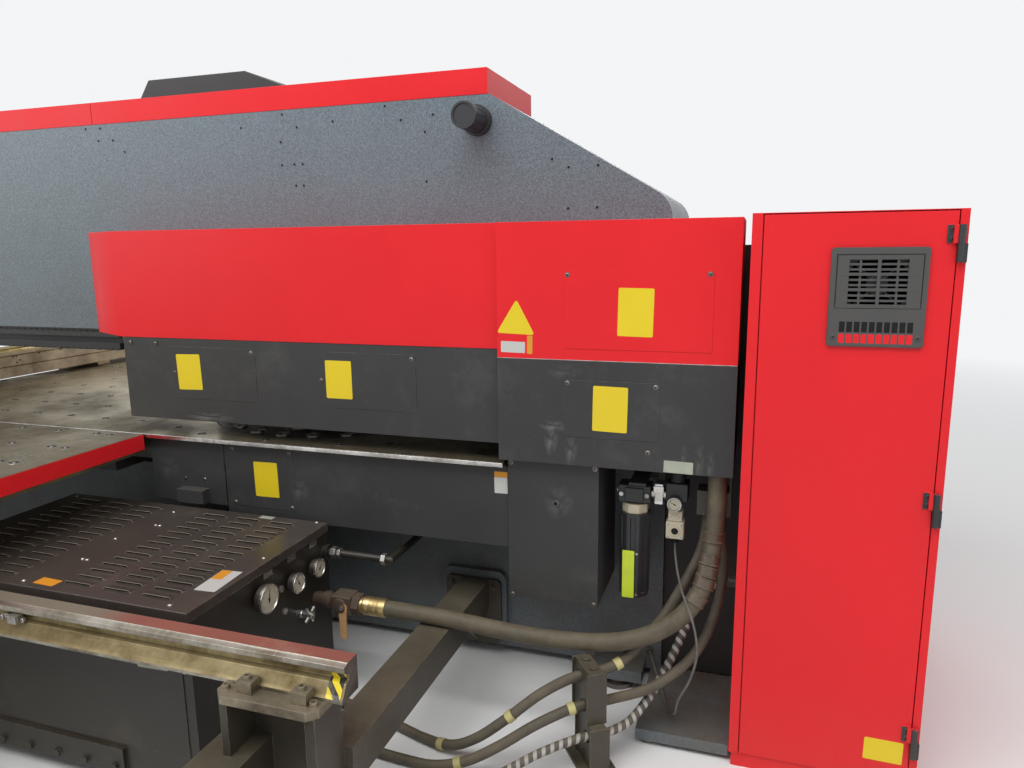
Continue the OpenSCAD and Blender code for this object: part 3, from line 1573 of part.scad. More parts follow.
module cabinet_door() {
    y0 = cab_y0;
    z1 = cab_h - cab_wall - door_gap;
    color(red_paint)
        difference() {
            block(door_x0, door_x1, y0, y0 + door_t, door_z0, z1);
            block(door_x0 + cab_wall, door_x1 - cab_wall, y0 + cab_wall, y0 + door_t + 1,
                door_z0 + cab_wall, z1 - cab_wall);
            block(fan_x0 + 12, fan_x0 + fan_w - 12, y0 - 1, y0 + cab_wall + 1, fan_z0 + 12, fan_z0 + fan_h - 12);
        }
    color([0.1, 0.1, 0.1])
        for (z = hinge_zs)
            door_knuckle(z);
}

// Fixed halves of the hinges: a leaf on the cabinet, a knuckle and the pin
module cabinet_hinges() {
    color([0.1, 0.1, 0.1])
        for (z = hinge_zs) {
            zk = z - axial_gap - knuckle_l;
            bar_z(zk, z - axial_gap, hinge_x, hinge_y, knuckle_r);
            bar_z(z - axial_gap, z + knuckle_l, hinge_x, hinge_y, hinge_pin_r);
            block(hinge_x, cab_x1 - 1, hinge_y - 2, hinge_y + 2, zk, z - axial_gap);
            block(cab_x1 - 8, cab_x1 - 1, hinge_y + 2, cab_y0, zk, z - axial_gap);
        }
}

// Filter fan: a grid in a frame, a duct behind the door and a motor on four spokes
grid_z0 = fan_z0 + 91;
duct_depth = 60;
motor_r = 28;
wheel_y0 = cab_y0 + 37;
wheel_y1 = cab_y0 + 57;
fan_hub_r = 6;

module filter_fan() {
    y0 = cab_y0 - 8;
    x1 = fan_x0 + fan_w;
    color([0.16, 0.17, 0.18]) {
        difference() {
            prism_y(chamfered(fan_x0, x1, fan_z0, fan_z0 + fan_h, 6), y0, cab_y0);
            block(fan_x0 + 22, x1 - 22, y0 - 1, cab_y0 + 1, grid_z0, fan_z0 + fan_h - 22);
            for (i = [0:9])
                block(fan_x0 + 26 + i * 20, fan_x0 + 41 + i * 20, y0 - 1, cab_y0 + 1, fan_z0 + 22, fan_z0 + 60);
        }
        for (k = [0:10])
            block(fan_x0 + 22, x1 - 22, y0 + 2, y0 + 6, grid_z0 + 7 + k * 14.5, grid_z0 + 13 + k * 14.5);
        for (x = [fan_x0 + 74, fan_axis_x - 3, x1 - 80])
            block(x, x + 6, y0 + 2, y0 + 6, grid_z0, fan_z0 + fan_h - 22);
        difference() {
            block(fan_x0 + 13, x1 - 13, cab_y0, cab_y0 + duct_depth, fan_z0 + 13, fan_z0 + fan_h - 13);
            block(fan_x0 + 20, x1 - 20, cab_y0 - 1, cab_y0 + 12, fan_z0 + 20, fan_z0 + fan_h - 20);
            bar_y(cab_y0 - 1, cab_y0 + duct_depth + 1, fan_axis_x, fan_axis_z, fan_d / 2 + 8);
        }
        bar_y(cab_y0 + 14, wheel_y0 - 2, fan_axis_x, fan_axis_z, motor_r);
        bar_y(wheel_y0 - 2, wheel_y1, fan_axis_x, fan_axis_z, fan_hub_r);
        for (a = [45:90:315])
            translate([fan_axis_x, cab_y0 + 14, fan_axis_z])
                rotate([0, a, 0])
                    translate([motor_r - 2, 0, -3])
                        cube([fan_d / 2 + 12 - motor_r, 6, 6]);
    }
}

module fan_wheel() {
    y0 = wheel_y0 - 1.5;
    color([0.12, 0.12, 0.12])
        difference() {
            union() {
                bar_y(y0, wheel_y1, fan_axis_x, fan_axis_z, 26);
                for (a = [0:360 / 7:359])
                    translate([fan_axis_x, (y0 + wheel_y1) / 2, fan_axis_z])
                        rotate([0, a, 0])
                            rotate([35, 0, 0])
                                translate([20, -1, -14])
                                    cube([fan_d / 2 - 22, 2, 28]);
            }
            bar_y(y0 - 1, wheel_y1 + 1, fan_axis_x, fan_axis_z, fan_hub_r + running_gap);
        }
}

bridge_frame();
roof_covers();
ram_cover();
breather();
levelling_pads();
turret_cover_near_red();
turret_cover_near_dark();
turret_cover_far_red();
turret_cover_far_dark();
drive_cover_red();
drive_cover_dark();
cover_hatches();
side_panels();
pillar_cover();
table_bed();
centre_table();
edge_strips();
centre_balls();
ram();
upper_turret();
lower_turret();
punch_set();
die_set();
turret_posts();
feed_beam();
beam_guides();
side_table_near();
side_table_far();
side_fascias();
side_balls();
clamp_carriage();
clamp_bodies();
clamp_jaws();
roller_near();
roller_far();
cable_chain();
feed_rails();
rail_seats();
support_arms_near();
support_arms_far();
power_tank();
power_lid();
pressure_gauges();
shutoff_valve();
shutoff_lever();
vent_handle();
air_filter();
air_regulator();
pressure_switch();
hose_clamps();
main_hose();
switch_cable();
floor_hose_1();
floor_hose_2();
floor_hose_3();
cabinet_body();
cabinet_door();
cabinet_hinges();
filter_fan();
fan_wheel();
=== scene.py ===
# %% [markdown]
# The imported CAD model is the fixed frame. Every piece made here stands in the same
# place and unit as the CAD, in metres, with +Z up and the machine's length along X.

# %% Load the frame
import math

import bmesh
import bpy
from mathutils import Matrix, Vector


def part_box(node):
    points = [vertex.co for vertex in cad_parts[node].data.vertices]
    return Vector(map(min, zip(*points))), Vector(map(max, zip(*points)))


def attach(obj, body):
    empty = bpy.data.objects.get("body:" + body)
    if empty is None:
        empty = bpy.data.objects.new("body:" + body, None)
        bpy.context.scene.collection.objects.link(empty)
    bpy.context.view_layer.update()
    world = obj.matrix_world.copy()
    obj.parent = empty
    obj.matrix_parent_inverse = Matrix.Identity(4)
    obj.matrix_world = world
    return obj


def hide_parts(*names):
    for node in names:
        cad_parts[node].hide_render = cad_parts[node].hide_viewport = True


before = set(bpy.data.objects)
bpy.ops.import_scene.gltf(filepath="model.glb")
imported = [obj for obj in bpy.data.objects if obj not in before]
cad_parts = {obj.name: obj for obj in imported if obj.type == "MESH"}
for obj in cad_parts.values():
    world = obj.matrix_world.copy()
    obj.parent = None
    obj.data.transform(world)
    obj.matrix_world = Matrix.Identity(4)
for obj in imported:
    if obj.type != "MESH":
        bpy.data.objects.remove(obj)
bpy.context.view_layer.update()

# %% [markdown]
# The photo was taken by hand in front of the power unit, a little above the table,
# looking left along the machine with a wide lens. Its straight edges give the yaw,
# the pitch and a very small roll, and the lens follows from the two vanishing points.

# %% Camera
CAMERA_AT = (2.395, -3.090, 1.700)
YAW_LEFT, PITCH_DOWN, ROLL = 18.26, 10.42, -0.67
LENS = 26.2

camera_data = bpy.data.cameras.new("camera")
camera_data.lens = LENS
camera_data.sensor_width = 36.0
camera_data.clip_start = 0.02
camera_data.clip_end = 200.0
camera = bpy.data.objects.new("camera", camera_data)
bpy.context.scene.collection.objects.link(camera)
camera.location = CAMERA_AT
turn = Matrix.Rotation(math.radians(YAW_LEFT), 3, "Z")
tilt = Matrix.Rotation(math.radians(90 - PITCH_DOWN), 3, "X")
spin = Matrix.Rotation(math.radians(ROLL), 3, "Z")
camera.rotation_euler = (turn @ tilt @ spin).to_euler()
bpy.context.scene.camera = camera
print("camera at", CAMERA_AT, "lens", LENS)

# %% [markdown]
# A few helpers keep every later cell short. A piece is always a bmesh that becomes a
# mesh with its place in its vertices, so the object itself stays at the origin.

# %% Helpers for pieces
def piece_from(bm, name, body, *materials, slot=None, smooth=None):
    """Turns a bmesh into a named piece on a body; edges bent less than smooth degrees look smooth."""
    bm.normal_update()
    mesh = bpy.data.meshes.new(name)
    if smooth:
        for face in bm.faces:
            face.smooth = True
        for edge in bm.edges:
            if len(edge.link_faces) == 2:
                edge.smooth = edge.calc_face_angle(0.0) < math.radians(smooth)
    bm.to_mesh(mesh)
    bm.free()
    for material in materials:
        mesh.materials.append(material)
    piece = bpy.data.objects.new(name, mesh)
    bpy.context.scene.collection.objects.link(piece)
    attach(piece, body)
    if smooth:
        piece.modifiers.new("normals", "WEIGHTED_NORMAL").keep_sharp = True
    print(name, "faces", len(mesh.polygons))
    return piece


def mm(*values):
    """Millimetres to a vector in metres."""
    return Vector(values) / 1000.0


def join_part(bm, part, place=None, material=None):
    """Moves a small bmesh to its place and joins it to a larger one."""
    if place:
        bmesh.ops.transform(part, matrix=place, verts=part.verts)
    if material is not None:
        for face in part.faces:
            face.material_index = material
    mesh = bpy.data.meshes.new("part")
    part.to_mesh(mesh)
    part.free()
    bm.from_mesh(mesh)
    bpy.data.meshes.remove(mesh)


def round_edges(part, edges, width, segments=2):
    """Bevels edges by a width in millimetres."""
    bmesh.ops.bevel(part, geom=list(edges), offset=width / 1000.0, offset_type="OFFSET", segments=segments,
                    profile=0.5, affect="EDGES", material=-1, clamp_overlap=True)


def add_block(bm, low, high, bevel=0.0, segments=2, material=0):
    """A block between two corners in millimetres, with its edges rounded."""
    low, high = mm(*low), mm(*high)
    part = bmesh.new()
    stretch = Matrix.Diagonal((*(high - low), 1.0))
    bmesh.ops.create_cube(part, size=1.0, matrix=Matrix.Translation((low + high) / 2) @ stretch)
    if bevel:
        round_edges(part, part.edges, bevel, segments)
    join_part(bm, part, material=material)


def along(axis):
    """A rotation that takes +Z to an axis."""
    return Vector((0, 0, 1)).rotation_difference(Vector(axis)).to_matrix().to_4x4()


def add_lathe(bm, outline, place, steps=32, materials=None):
    """Spins an outline of (radius, height) pairs in millimetres about +Z, then puts it in place."""
    part = bmesh.new()
    points = [part.verts.new((r / 1000.0, 0.0, h / 1000.0)) for r, h in outline]
    lines = [part.edges.new(pair) for pair in zip(points, points[1:])]
    bmesh.ops.spin(part, geom=points + lines, cent=(0, 0, 0), axis=(0, 0, 1), dvec=(0, 0, 0), angle=math.tau,
                   steps=steps, use_merge=True, use_normal_flip=False, use_duplicate=False)
    bmesh.ops.remove_doubles(part, verts=part.verts, dist=1e-6)
    bmesh.ops.recalc_face_normals(part, faces=part.faces)
    if materials:
        middles = [((a[0] + b[0]) / 2000.0, (a[1] + b[1]) / 2000.0) for a, b in zip(outline, outline[1:])]
        for face in part.faces:
            c = face.calc_center_median()
            away = [abs(h - c.z) + abs(r - math.hypot(c.x, c.y)) for r, h in middles]
            face.material_index = materials[away.index(min(away))]
    join_part(bm, part, place)


UP, RIGHT, LEFT, FRONT = (0, 0, 1), (1, 0, 0), (-1, 0, 0), (0, -1, 0)


def at(x, y, z, axis=UP):
    """A place in millimetres, with +Z turned to an axis."""
    return Matrix.Translation(mm(x, y, z)) @ along(axis)


def stamp(bm, template, place):
    """Adds a copy of a template mesh at a place."""
    copy = template.copy()
    copy.transform(place)
    bm.from_mesh(copy)
    bpy.data.meshes.remove(copy)


def template_from(bm, name):
    """Keeps a small bmesh as a mesh that stamp() repeats."""
    bm.normal_update()
    mesh = bpy.data.meshes.new(name)
    bm.to_mesh(mesh)
    bm.free()
    return mesh

# %% [markdown]
# Materials are built from nodes. Two small helpers make a node with its values and
# join two sockets, so a material reads like a list of what the surface has.

# %% Helpers for node trees
def add_node(tree, kind, values=None, **settings):
    """A node with values on its input sockets and settings of its own."""
    made = tree.nodes.new(kind)
    for name, value in settings.items():
        setattr(made, name, value)
    for name, value in (values or {}).items():
        made.inputs[name].default_value = value
    return made


def new_group(name, inputs, outputs):
    """A shader node group with named float inputs and outputs; returns its tree, input and output nodes."""
    tree = bpy.data.node_groups.new(name, "ShaderNodeTree")
    for label, value in inputs:
        socket = tree.interface.new_socket(label, in_out="INPUT", socket_type="NodeSocketFloat")
        socket.default_value = value
    for label in outputs:
        tree.interface.new_socket(label, in_out="OUTPUT", socket_type="NodeSocketFloat")
    return tree, tree.nodes.new("NodeGroupInput"), tree.nodes.new("NodeGroupOutput")


def math_node(tree, operation, a, b=None, clamp=False):
    """A Math node; a and b are sockets or numbers."""
    made = add_node(tree, "ShaderNodeMath", operation=operation, use_clamp=clamp)
    for i, value in enumerate((a, b)):
        if value is None:
            continue
        if isinstance(value, (int, float)):
            made.inputs[i].default_value = value
        else:
            tree.links.new(value, made.inputs[i])
    return made.outputs[0]


def ramp(tree, value, low, high, to_low=0.0, to_high=1.0):
    """Maps a value from low..high to to_low..to_high, clamped."""
    made = add_node(tree, "ShaderNodeMapRange",
                    {"From Min": low, "From Max": high, "To Min": to_low, "To Max": to_high})
    tree.links.new(value, made.inputs["Value"])
    return made.outputs["Result"]


def noise(tree, vector, scale, detail=3.0, roughness=0.55, distortion=0.0):
    """A noise texture's value on a vector; the scale may be a socket."""
    made = add_node(tree, "ShaderNodeTexNoise", {"Detail": detail, "Roughness": roughness, "Distortion": distortion})
    if isinstance(scale, (int, float)):
        made.inputs["Scale"].default_value = scale
    else:
        tree.links.new(scale, made.inputs["Scale"])
    tree.links.new(vector, made.inputs["Vector"])
    return made.outputs["Fac"]

# %% [markdown]
# Some effects are shared by most finishes of a machine that has worked for years:
# cloudy paint, worn edges, fine scratches on metal, pale smudges with small specks on
# paint, and dust that lies on what faces up and low down. Each is one node group, used
# with its own values in each material.

# %% Shared effect: cloudy patches
clouds, c_in, c_out = new_group("cloudy_patches", [("Scale", 3.0), ("Contrast", 0.5)], ["Value"])
c_vector = add_node(clouds, "ShaderNodeTexCoord").outputs["Object"]
c_value = noise(clouds, c_vector, c_in.outputs["Scale"], detail=5.0, roughness=0.6)
c_half = math_node(clouds, "SUBTRACT", c_value, 0.5)
c_scaled = math_node(clouds, "MULTIPLY", c_half, c_in.outputs["Contrast"])
clouds.links.new(math_node(clouds, "ADD", c_scaled, 0.5, clamp=True), c_out.inputs["Value"])

# %% Shared effect: worn edges
edges, e_in, e_out = new_group("worn_edges", [("Radius", 0.003), ("Amount", 1.0)], ["Mask"])
e_bevel = add_node(edges, "ShaderNodeBevel", samples=4)
edges.links.new(e_in.outputs["Radius"], e_bevel.inputs["Radius"])
e_geometry = add_node(edges, "ShaderNodeNewGeometry")
e_dot = add_node(edges, "ShaderNodeVectorMath", operation="DOT_PRODUCT")
edges.links.new(e_bevel.outputs["Normal"], e_dot.inputs[0])
edges.links.new(e_geometry.outputs["Normal"], e_dot.inputs[1])
e_vector = add_node(edges, "ShaderNodeTexCoord").outputs["Object"]
e_noise = ramp(edges, noise(edges, e_vector, 35.0, detail=6.0, roughness=0.7), 0.42, 0.62)
e_bent = ramp(edges, e_dot.outputs["Value"], 0.99, 0.86)
e_worn = math_node(edges, "MULTIPLY", e_bent, e_noise)
e_mask = math_node(edges, "MULTIPLY", e_worn, e_in.outputs["Amount"], clamp=True)
edges.links.new(e_mask, e_out.inputs["Mask"])

# %% Shared effect: scratches
marks, m_in, m_out = new_group("scratches", [("Scale", 6.0), ("Amount", 1.0)], ["Mask"])
m_vector = add_node(marks, "ShaderNodeTexCoord").outputs["Object"]
m_total = None
for m_turn, m_stretch in ((0.5, (0.5, 44.0, 6.0)), (-0.9, (0.7, 60.0, 9.0)), (1.5, (50.0, 0.6, 14.0))):
    m_map = add_node(marks, "ShaderNodeMapping",
                     {"Rotation": (m_turn * 0.6, m_turn * 0.3, m_turn), "Scale": m_stretch})
    marks.links.new(m_vector, m_map.inputs["Vector"])
    m_lines = noise(marks, m_map.outputs["Vector"], m_in.outputs["Scale"], detail=2.0, roughness=0.4)
    m_thin = ramp(marks, m_lines, 0.68, 0.74)
    m_total = m_thin if m_total is None else math_node(marks, "MAXIMUM", m_total, m_thin)
marks.links.new(math_node(marks, "MULTIPLY", m_total, m_in.outputs["Amount"], clamp=True), m_out.inputs["Mask"])

# %% Shared effect: smudges and specks
smudge, s_in, s_out = new_group("smudges", [("Scale", 4.0), ("Amount", 1.0)], ["Mask"])
s_vector = add_node(smudge, "ShaderNodeTexCoord").outputs["Object"]
s_blot = ramp(smudge, noise(smudge, s_vector, s_in.outputs["Scale"], detail=2.0, distortion=0.8), 0.58, 0.74)
s_broken = ramp(smudge, noise(smudge, s_vector, 26.0, detail=8.0, roughness=0.72), 0.40, 0.70)
s_specks = ramp(smudge, noise(smudge, s_vector, 120.0, detail=1.0), 0.74, 0.80)
s_both = math_node(smudge, "MAXIMUM", math_node(smudge, "MULTIPLY", s_blot, s_broken), s_specks)
smudge.links.new(math_node(smudge, "MULTIPLY", s_both, s_in.outputs["Amount"], clamp=True), s_out.inputs["Mask"])

# %% Shared effect: dust on top and low down
dust, d_in, d_out = new_group("settled_dust", [("Top", 0.5), ("Low", 0.5), ("Height", 0.9)], ["Mask"])
d_coordinates = add_node(dust, "ShaderNodeTexCoord").outputs["Object"]
d_height = add_node(dust, "ShaderNodeSeparateXYZ")
dust.links.new(d_coordinates, d_height.inputs["Vector"])
d_normal = add_node(dust, "ShaderNodeSeparateXYZ")
dust.links.new(add_node(dust, "ShaderNodeNewGeometry").outputs["Normal"], d_normal.inputs["Vector"])
d_top = math_node(dust, "MULTIPLY", ramp(dust, d_normal.outputs["Z"], 0.6, 0.95), d_in.outputs["Top"])
d_share = math_node(dust, "DIVIDE", d_height.outputs["Z"], d_in.outputs["Height"])
d_low = math_node(dust, "MULTIPLY", ramp(dust, d_share, 1.0, 0.15), d_in.outputs["Low"])
d_cloud = ramp(dust, noise(dust, d_coordinates, 7.0, detail=8.0, roughness=0.65), 0.3, 0.7, 0.35, 1.0)
d_mask = math_node(dust, "MULTIPLY", math_node(dust, "ADD", d_top, d_low), d_cloud, clamp=True)
dust.links.new(d_mask, d_out.inputs["Mask"])
print("node groups", [g.name for g in bpy.data.node_groups])

# %% [markdown]
# Every recipe makes the same few moves: it places a shared group, mixes one colour over
# another by a mask, and turns a height into a bump. A rub that only one cover has is a
# ball of Object coordinates round its place, which noise breaks up.

# %% Helpers for recipes
def use_group(tree, group, **values):
    """Places a shared group with its own values and returns its first output."""
    made = tree.nodes.new("ShaderNodeGroup")
    made.node_tree = bpy.data.node_groups[group]
    for name, value in values.items():
        made.inputs[name].default_value = value
    return made.outputs[0]


def mixed(tree, mask, below, above):
    """Mixes two colours, each a socket or a tuple, by a mask."""
    made = add_node(tree, "ShaderNodeMix", data_type="RGBA", clamp_factor=True)
    tree.links.new(mask, made.inputs["Factor"])
    for name, value in (("A", below), ("B", above)):
        socket = [s for s in made.inputs if s.name == name and s.type == "RGBA"][0]
        if isinstance(value, tuple):
            socket.default_value = (*value, 1.0)
        else:
            tree.links.new(value, socket)
    return [s for s in made.outputs if s.type == "RGBA"][0]


def new_material(name):
    """A material with its tree and its Principled shader."""
    made = bpy.data.materials.new(name)
    made.use_nodes = True
    tree = made.node_tree
    return made, tree, tree.nodes["Principled BSDF"]


def bump_from(tree, shader, height, distance):
    """Lets a height in metres of distance raise the surface."""
    made = add_node(tree, "ShaderNodeBump", {"Strength": 1.0, "Distance": distance})
    tree.links.new(height, made.inputs["Height"])
    tree.links.new(made.outputs["Normal"], shader.inputs["Normal"])


def smudge_at(tree, vector, where, size, strength):
    """A broken pale smudge round one place; where and size are in millimetres."""
    placed = add_node(tree, "ShaderNodeMapping", {"Location": mm(*where), "Scale": mm(*size)},
                      vector_type="TEXTURE")
    tree.links.new(vector, placed.inputs["Vector"])
    away = add_node(tree, "ShaderNodeVectorMath", operation="LENGTH")
    tree.links.new(placed.outputs["Vector"], away.inputs[0])
    near = ramp(tree, away.outputs["Value"], 1.0, 0.35)
    patches = noise(tree, placed.outputs["Vector"], 1.7, detail=3.0, roughness=0.5)
    broken = ramp(tree, patches, 0.42, 0.64, 0.0, 0.62)
    return math_node(tree, "MULTIPLY", math_node(tree, "MULTIPLY", near, broken), strength, clamp=True)

# %% [markdown]
# Paint on this machine is sprayed enamel or a coarse textured paint. Both are one
# recipe: a base colour with slow cloudy variation, pale chalky scuffs, chips along the
# edges down to the primer, dust on top, and a fine grain for the bump that also
# speckles the coarse paint.

# %% Recipe: painted sheet and castings
DUST = (0.20, 0.165, 0.115)


def painted(name, base, rough=0.4, grain=300.0, grain_depth=0.0002, cloud=0.25, scuff=0.0,
            scuff_colour=(0.3, 0.3, 0.29), speckle=0.0, spots=(), bare=None, chip=0.5,
            chip_colour=(0.10, 0.09, 0.08), chip_radius=0.0025, top=0.2, low=0.2, height=0.6,
            dust_colour=DUST, shine=0.5):
    """Paint; bare is the range along X over which it is rubbed off, and the colour under it."""
    made, tree, shader = new_material(name)
    shader.inputs["Specular IOR Level"].default_value = shine
    vector = add_node(tree, "ShaderNodeTexCoord").outputs["Object"]
    clouds_value = use_group(tree, "cloudy_patches", Scale=2.3, Contrast=1.4)
    darker = tuple(c * (1 - cloud) for c in base)
    lighter = tuple(min(1.0, c * (1 + cloud) + cloud * 0.004) for c in base)
    colour = mixed(tree, clouds_value, darker, lighter)
    fine = noise(tree, vector, grain, detail=2.0)
    if speckle:
        speck_colour = tuple(min(1.0, c * 2.2) for c in base)
        colour = mixed(tree, ramp(tree, fine, 0.35, 0.68, 0.0, speckle), colour, speck_colour)
    if scuff:
        wear = ramp(tree, noise(tree, vector, 3.4, detail=9.0, roughness=0.74), 0.54, 0.82)
        colour = mixed(tree, math_node(tree, "MULTIPLY", wear, scuff), colour, scuff_colour)
        colour = mixed(tree, use_group(tree, "smudges", Scale=3.1, Amount=scuff), colour, scuff_colour)
    for where, size, strength in spots:
        colour = mixed(tree, smudge_at(tree, vector, where, size, strength), colour, scuff_colour)
    if bare:
        split = add_node(tree, "ShaderNodeSeparateXYZ")
        tree.links.new(vector, split.inputs["Vector"])
        uneven = math_node(tree, "ADD", split.outputs["X"], math_node(tree, "MULTIPLY", fine, 0.3))
        colour = mixed(tree, ramp(tree, uneven, *bare[0]), colour, bare[1])
    colour = mixed(tree, use_group(tree, "worn_edges", Radius=chip_radius, Amount=chip), colour, chip_colour)
    dusty = use_group(tree, "settled_dust", Top=top, Low=low, Height=height)
    colour = mixed(tree, dusty, colour, dust_colour)
    tree.links.new(colour, shader.inputs["Base Color"])
    rougher = math_node(tree, "ADD", ramp(tree, clouds_value, 0.2, 0.8, rough - 0.06, rough + 0.06),
                        math_node(tree, "MULTIPLY", dusty, 0.4), clamp=True)
    tree.links.new(rougher, shader.inputs["Roughness"])
    bump_from(tree, shader, fine, grain_depth)
    return made

# %% [markdown]
# The red is smooth enamel that only dulls low down, the frame has coarse blue-grey
# paint that is speckled all over, and the dark covers and the tank are satin black that
# scuffs pale and chips at its edges. Each is the same recipe with its own values.

# %% Finishes: paints of the frame, the covers and the tank
red_enamel = painted("red_enamel", (0.72, 0.016, 0.022), rough=0.38, grain=900.0, grain_depth=0.00008, cloud=0.06,
                     chip=0.5, chip_colour=(0.26, 0.02, 0.02), top=0.05, low=0.14, height=0.35,
                     dust_colour=(0.34, 0.13, 0.09), shine=0.28)
frame_paint = painted("frame_paint", (0.088, 0.114, 0.132), rough=0.34, grain=210.0, grain_depth=0.0011, cloud=0.20,
                      speckle=0.78, scuff=0.10, scuff_colour=(0.26, 0.26, 0.25), chip=0.6,
                      chip_colour=(0.22, 0.20, 0.16), top=0.4, low=0.75, height=2.3,
                      dust_colour=(0.105, 0.088, 0.066))
support_paint = painted("support_paint", (0.040, 0.034, 0.024), rough=0.42, grain=260.0, grain_depth=0.0004,
                        cloud=0.3, scuff=0.30, scuff_colour=(0.19, 0.16, 0.12), chip=1.0,
                        chip_colour=(0.34, 0.30, 0.23),
                        top=0.5, low=0.22, height=0.5, dust_colour=(0.14, 0.115, 0.072))
COVER = dict(rough=0.46, grain=420.0, grain_depth=0.0004, cloud=0.22, scuff=0.22, scuff_colour=(0.19, 0.19, 0.18),
             chip=0.8, chip_colour=(0.30, 0.29, 0.27), chip_radius=0.002, top=0.35, low=0.22, height=0.75,
             dust_colour=(0.10, 0.088, 0.066), shine=0.38)
cover_paint = painted("cover_paint", (0.034, 0.034, 0.034), **COVER,
                      spots=(((300, -670, 1035), (130, 60, 22), 0.9),
                             ((700, -660, 760), (50, 40, 50), 0.5),
                             ((1762, -670, 820), (60, 40, 70), 0.5),
                             ((60, -660, 800), (60, 40, 60), 0.35)))
drive_cover_paint = painted("drive_cover_paint", (0.032, 0.032, 0.032), **COVER,
                            spots=(((1755, -705, 1100), (60, 40, 22), 0.8),
                                   ((1745, -705, 1052), (28, 40, 60), 0.8),
                                   ((1815, -705, 1020), (24, 40, 60), 0.7),
                                   ((2240, -705, 1010), (16, 40, 70), 0.55),
                                   ((2275, -705, 1000), (14, 40, 60), 0.5),
                                   ((2190, -705, 1030), (12, 40, 40), 0.4),
                                   ((1790, -705, 1290), (70, 40, 30), 0.3)))
tank_paint = painted("tank_paint", (0.016, 0.013, 0.009), rough=0.40, grain=300.0, grain_depth=0.0003, cloud=0.35,
                     scuff=0.24, scuff_colour=(0.16, 0.13, 0.09), chip=1.0, chip_colour=(0.30, 0.26, 0.20),
                     chip_radius=0.002, top=0.3, low=0.22, height=0.45, dust_colour=(0.075, 0.06, 0.038))
lid_paint = painted("lid_paint", (0.052, 0.042, 0.036), rough=0.30, grain=300.0, grain_depth=0.0002, cloud=0.30,
                    scuff=0.30, scuff_colour=(0.20, 0.17, 0.14), chip=1.0, chip_colour=(0.55, 0.50, 0.42),
                    chip_radius=0.003, top=0.10, low=0.05, height=0.5, dust_colour=(0.10, 0.082, 0.055))
bed_paint = painted("bed_paint", (0.026, 0.024, 0.021), rough=0.5, cloud=0.3, scuff=0.15, top=0.4, low=0.4,
                    height=0.9, dust_colour=(0.09, 0.075, 0.052))
print("paints", len(bpy.data.materials))

# %% [markdown]
# Plastic chips less and has a finer grain than paint, and rough castings have a coarse
# one. They differ from paint by these values alone, so they use its recipe too.

# %% Finishes: plastics and castings
black_plastic = painted("black_plastic", (0.020, 0.021, 0.023), rough=0.45, grain=500.0, grain_depth=0.0003,
                        cloud=0.12, chip=0.25, chip_colour=(0.09, 0.09, 0.09), top=0.18, low=0.15)
dark_plastic = painted("dark_plastic", (0.062, 0.060, 0.058), rough=0.48, grain=500.0, grain_depth=0.0003,
                       cloud=0.1, chip=0.2, chip_colour=(0.16, 0.15, 0.14), top=0.15, low=0.1)
tan_coat = painted("tan_coat", (0.50, 0.28, 0.12), rough=0.5, cloud=0.3, scuff=0.3, scuff_colour=(0.25, 0.16, 0.09),
                   chip=0.7, chip_colour=(0.2, 0.17, 0.13), top=0.3, low=0.1)
pale_cast = painted("pale_cast", (0.52, 0.46, 0.34), rough=0.55, cloud=0.15, scuff=0.3,
                    scuff_colour=(0.28, 0.23, 0.16), chip=0.6, chip_colour=(0.3, 0.26, 0.2), top=0.4,
                    low=0.1, height=1.2)
rusty_cast = painted("rusty_cast", (0.048, 0.028, 0.017), rough=0.6, grain=200.0, grain_depth=0.0008, cloud=0.45,
                     scuff=0.4, scuff_colour=(0.16, 0.10, 0.05), chip=0.8, chip_colour=(0.30, 0.24, 0.17),
                     top=0.3, low=0.2)
print("with plastics and castings", len(bpy.data.materials))

# %% [markdown]
# Bare steel here is never clean: plates are oiled and stained brown, rubbed bright
# where sheets slide over them, and crossed by long scratches. One recipe mixes a
# stained and a bright metal and lets the scratches cut through both.

# %% Recipe: bare metal
def bare_metal(name, stained, bright, rough=(0.25, 0.5), patch=3.0, scratch=0.6, scratch_scale=5.0,
               top=0.15, low=0.3, height=0.8, edge=0.6, dust_colour=DUST):
    """Metal between a bright and a stained state; rough gives the roughness of both."""
    made, tree, shader = new_material(name)
    vector = add_node(tree, "ShaderNodeTexCoord").outputs["Object"]
    blot = ramp(tree, noise(tree, vector, patch, detail=9.0, roughness=0.68), 0.36, 0.64)
    colour = mixed(tree, blot, bright, stained)
    lines = use_group(tree, "scratches", Scale=scratch_scale, Amount=scratch)
    colour = mixed(tree, lines, colour, tuple(min(1.0, c * 1.25) for c in bright))
    edge_colour = tuple(min(1.0, c * 1.15) for c in bright)
    colour = mixed(tree, use_group(tree, "worn_edges", Radius=0.002, Amount=edge), colour, edge_colour)
    dusty = use_group(tree, "settled_dust", Top=top, Low=low, Height=height)
    colour = mixed(tree, dusty, colour, dust_colour)
    tree.links.new(colour, shader.inputs["Base Color"])
    metallic = math_node(tree, "SUBTRACT", 1.0, math_node(tree, "MULTIPLY", dusty, 0.9))
    tree.links.new(metallic, shader.inputs["Metallic"])
    rougher = math_node(tree, "ADD", ramp(tree, blot, 0.0, 1.0, *rough), math_node(tree, "MULTIPLY", dusty, 0.35),
                        clamp=True)
    tree.links.new(rougher, shader.inputs["Roughness"])
    bump_from(tree, shader, math_node(tree, "ADD", lines, noise(tree, vector, 240.0, detail=3.0)), 0.00012)
    return made

# %% [markdown]
# The tables are stained brown and glossy, the rails' heads are rubbed by the rollers,
# screws and strips stay bright, and the brass is pale. Patches are large on a table and
# small on a screw.

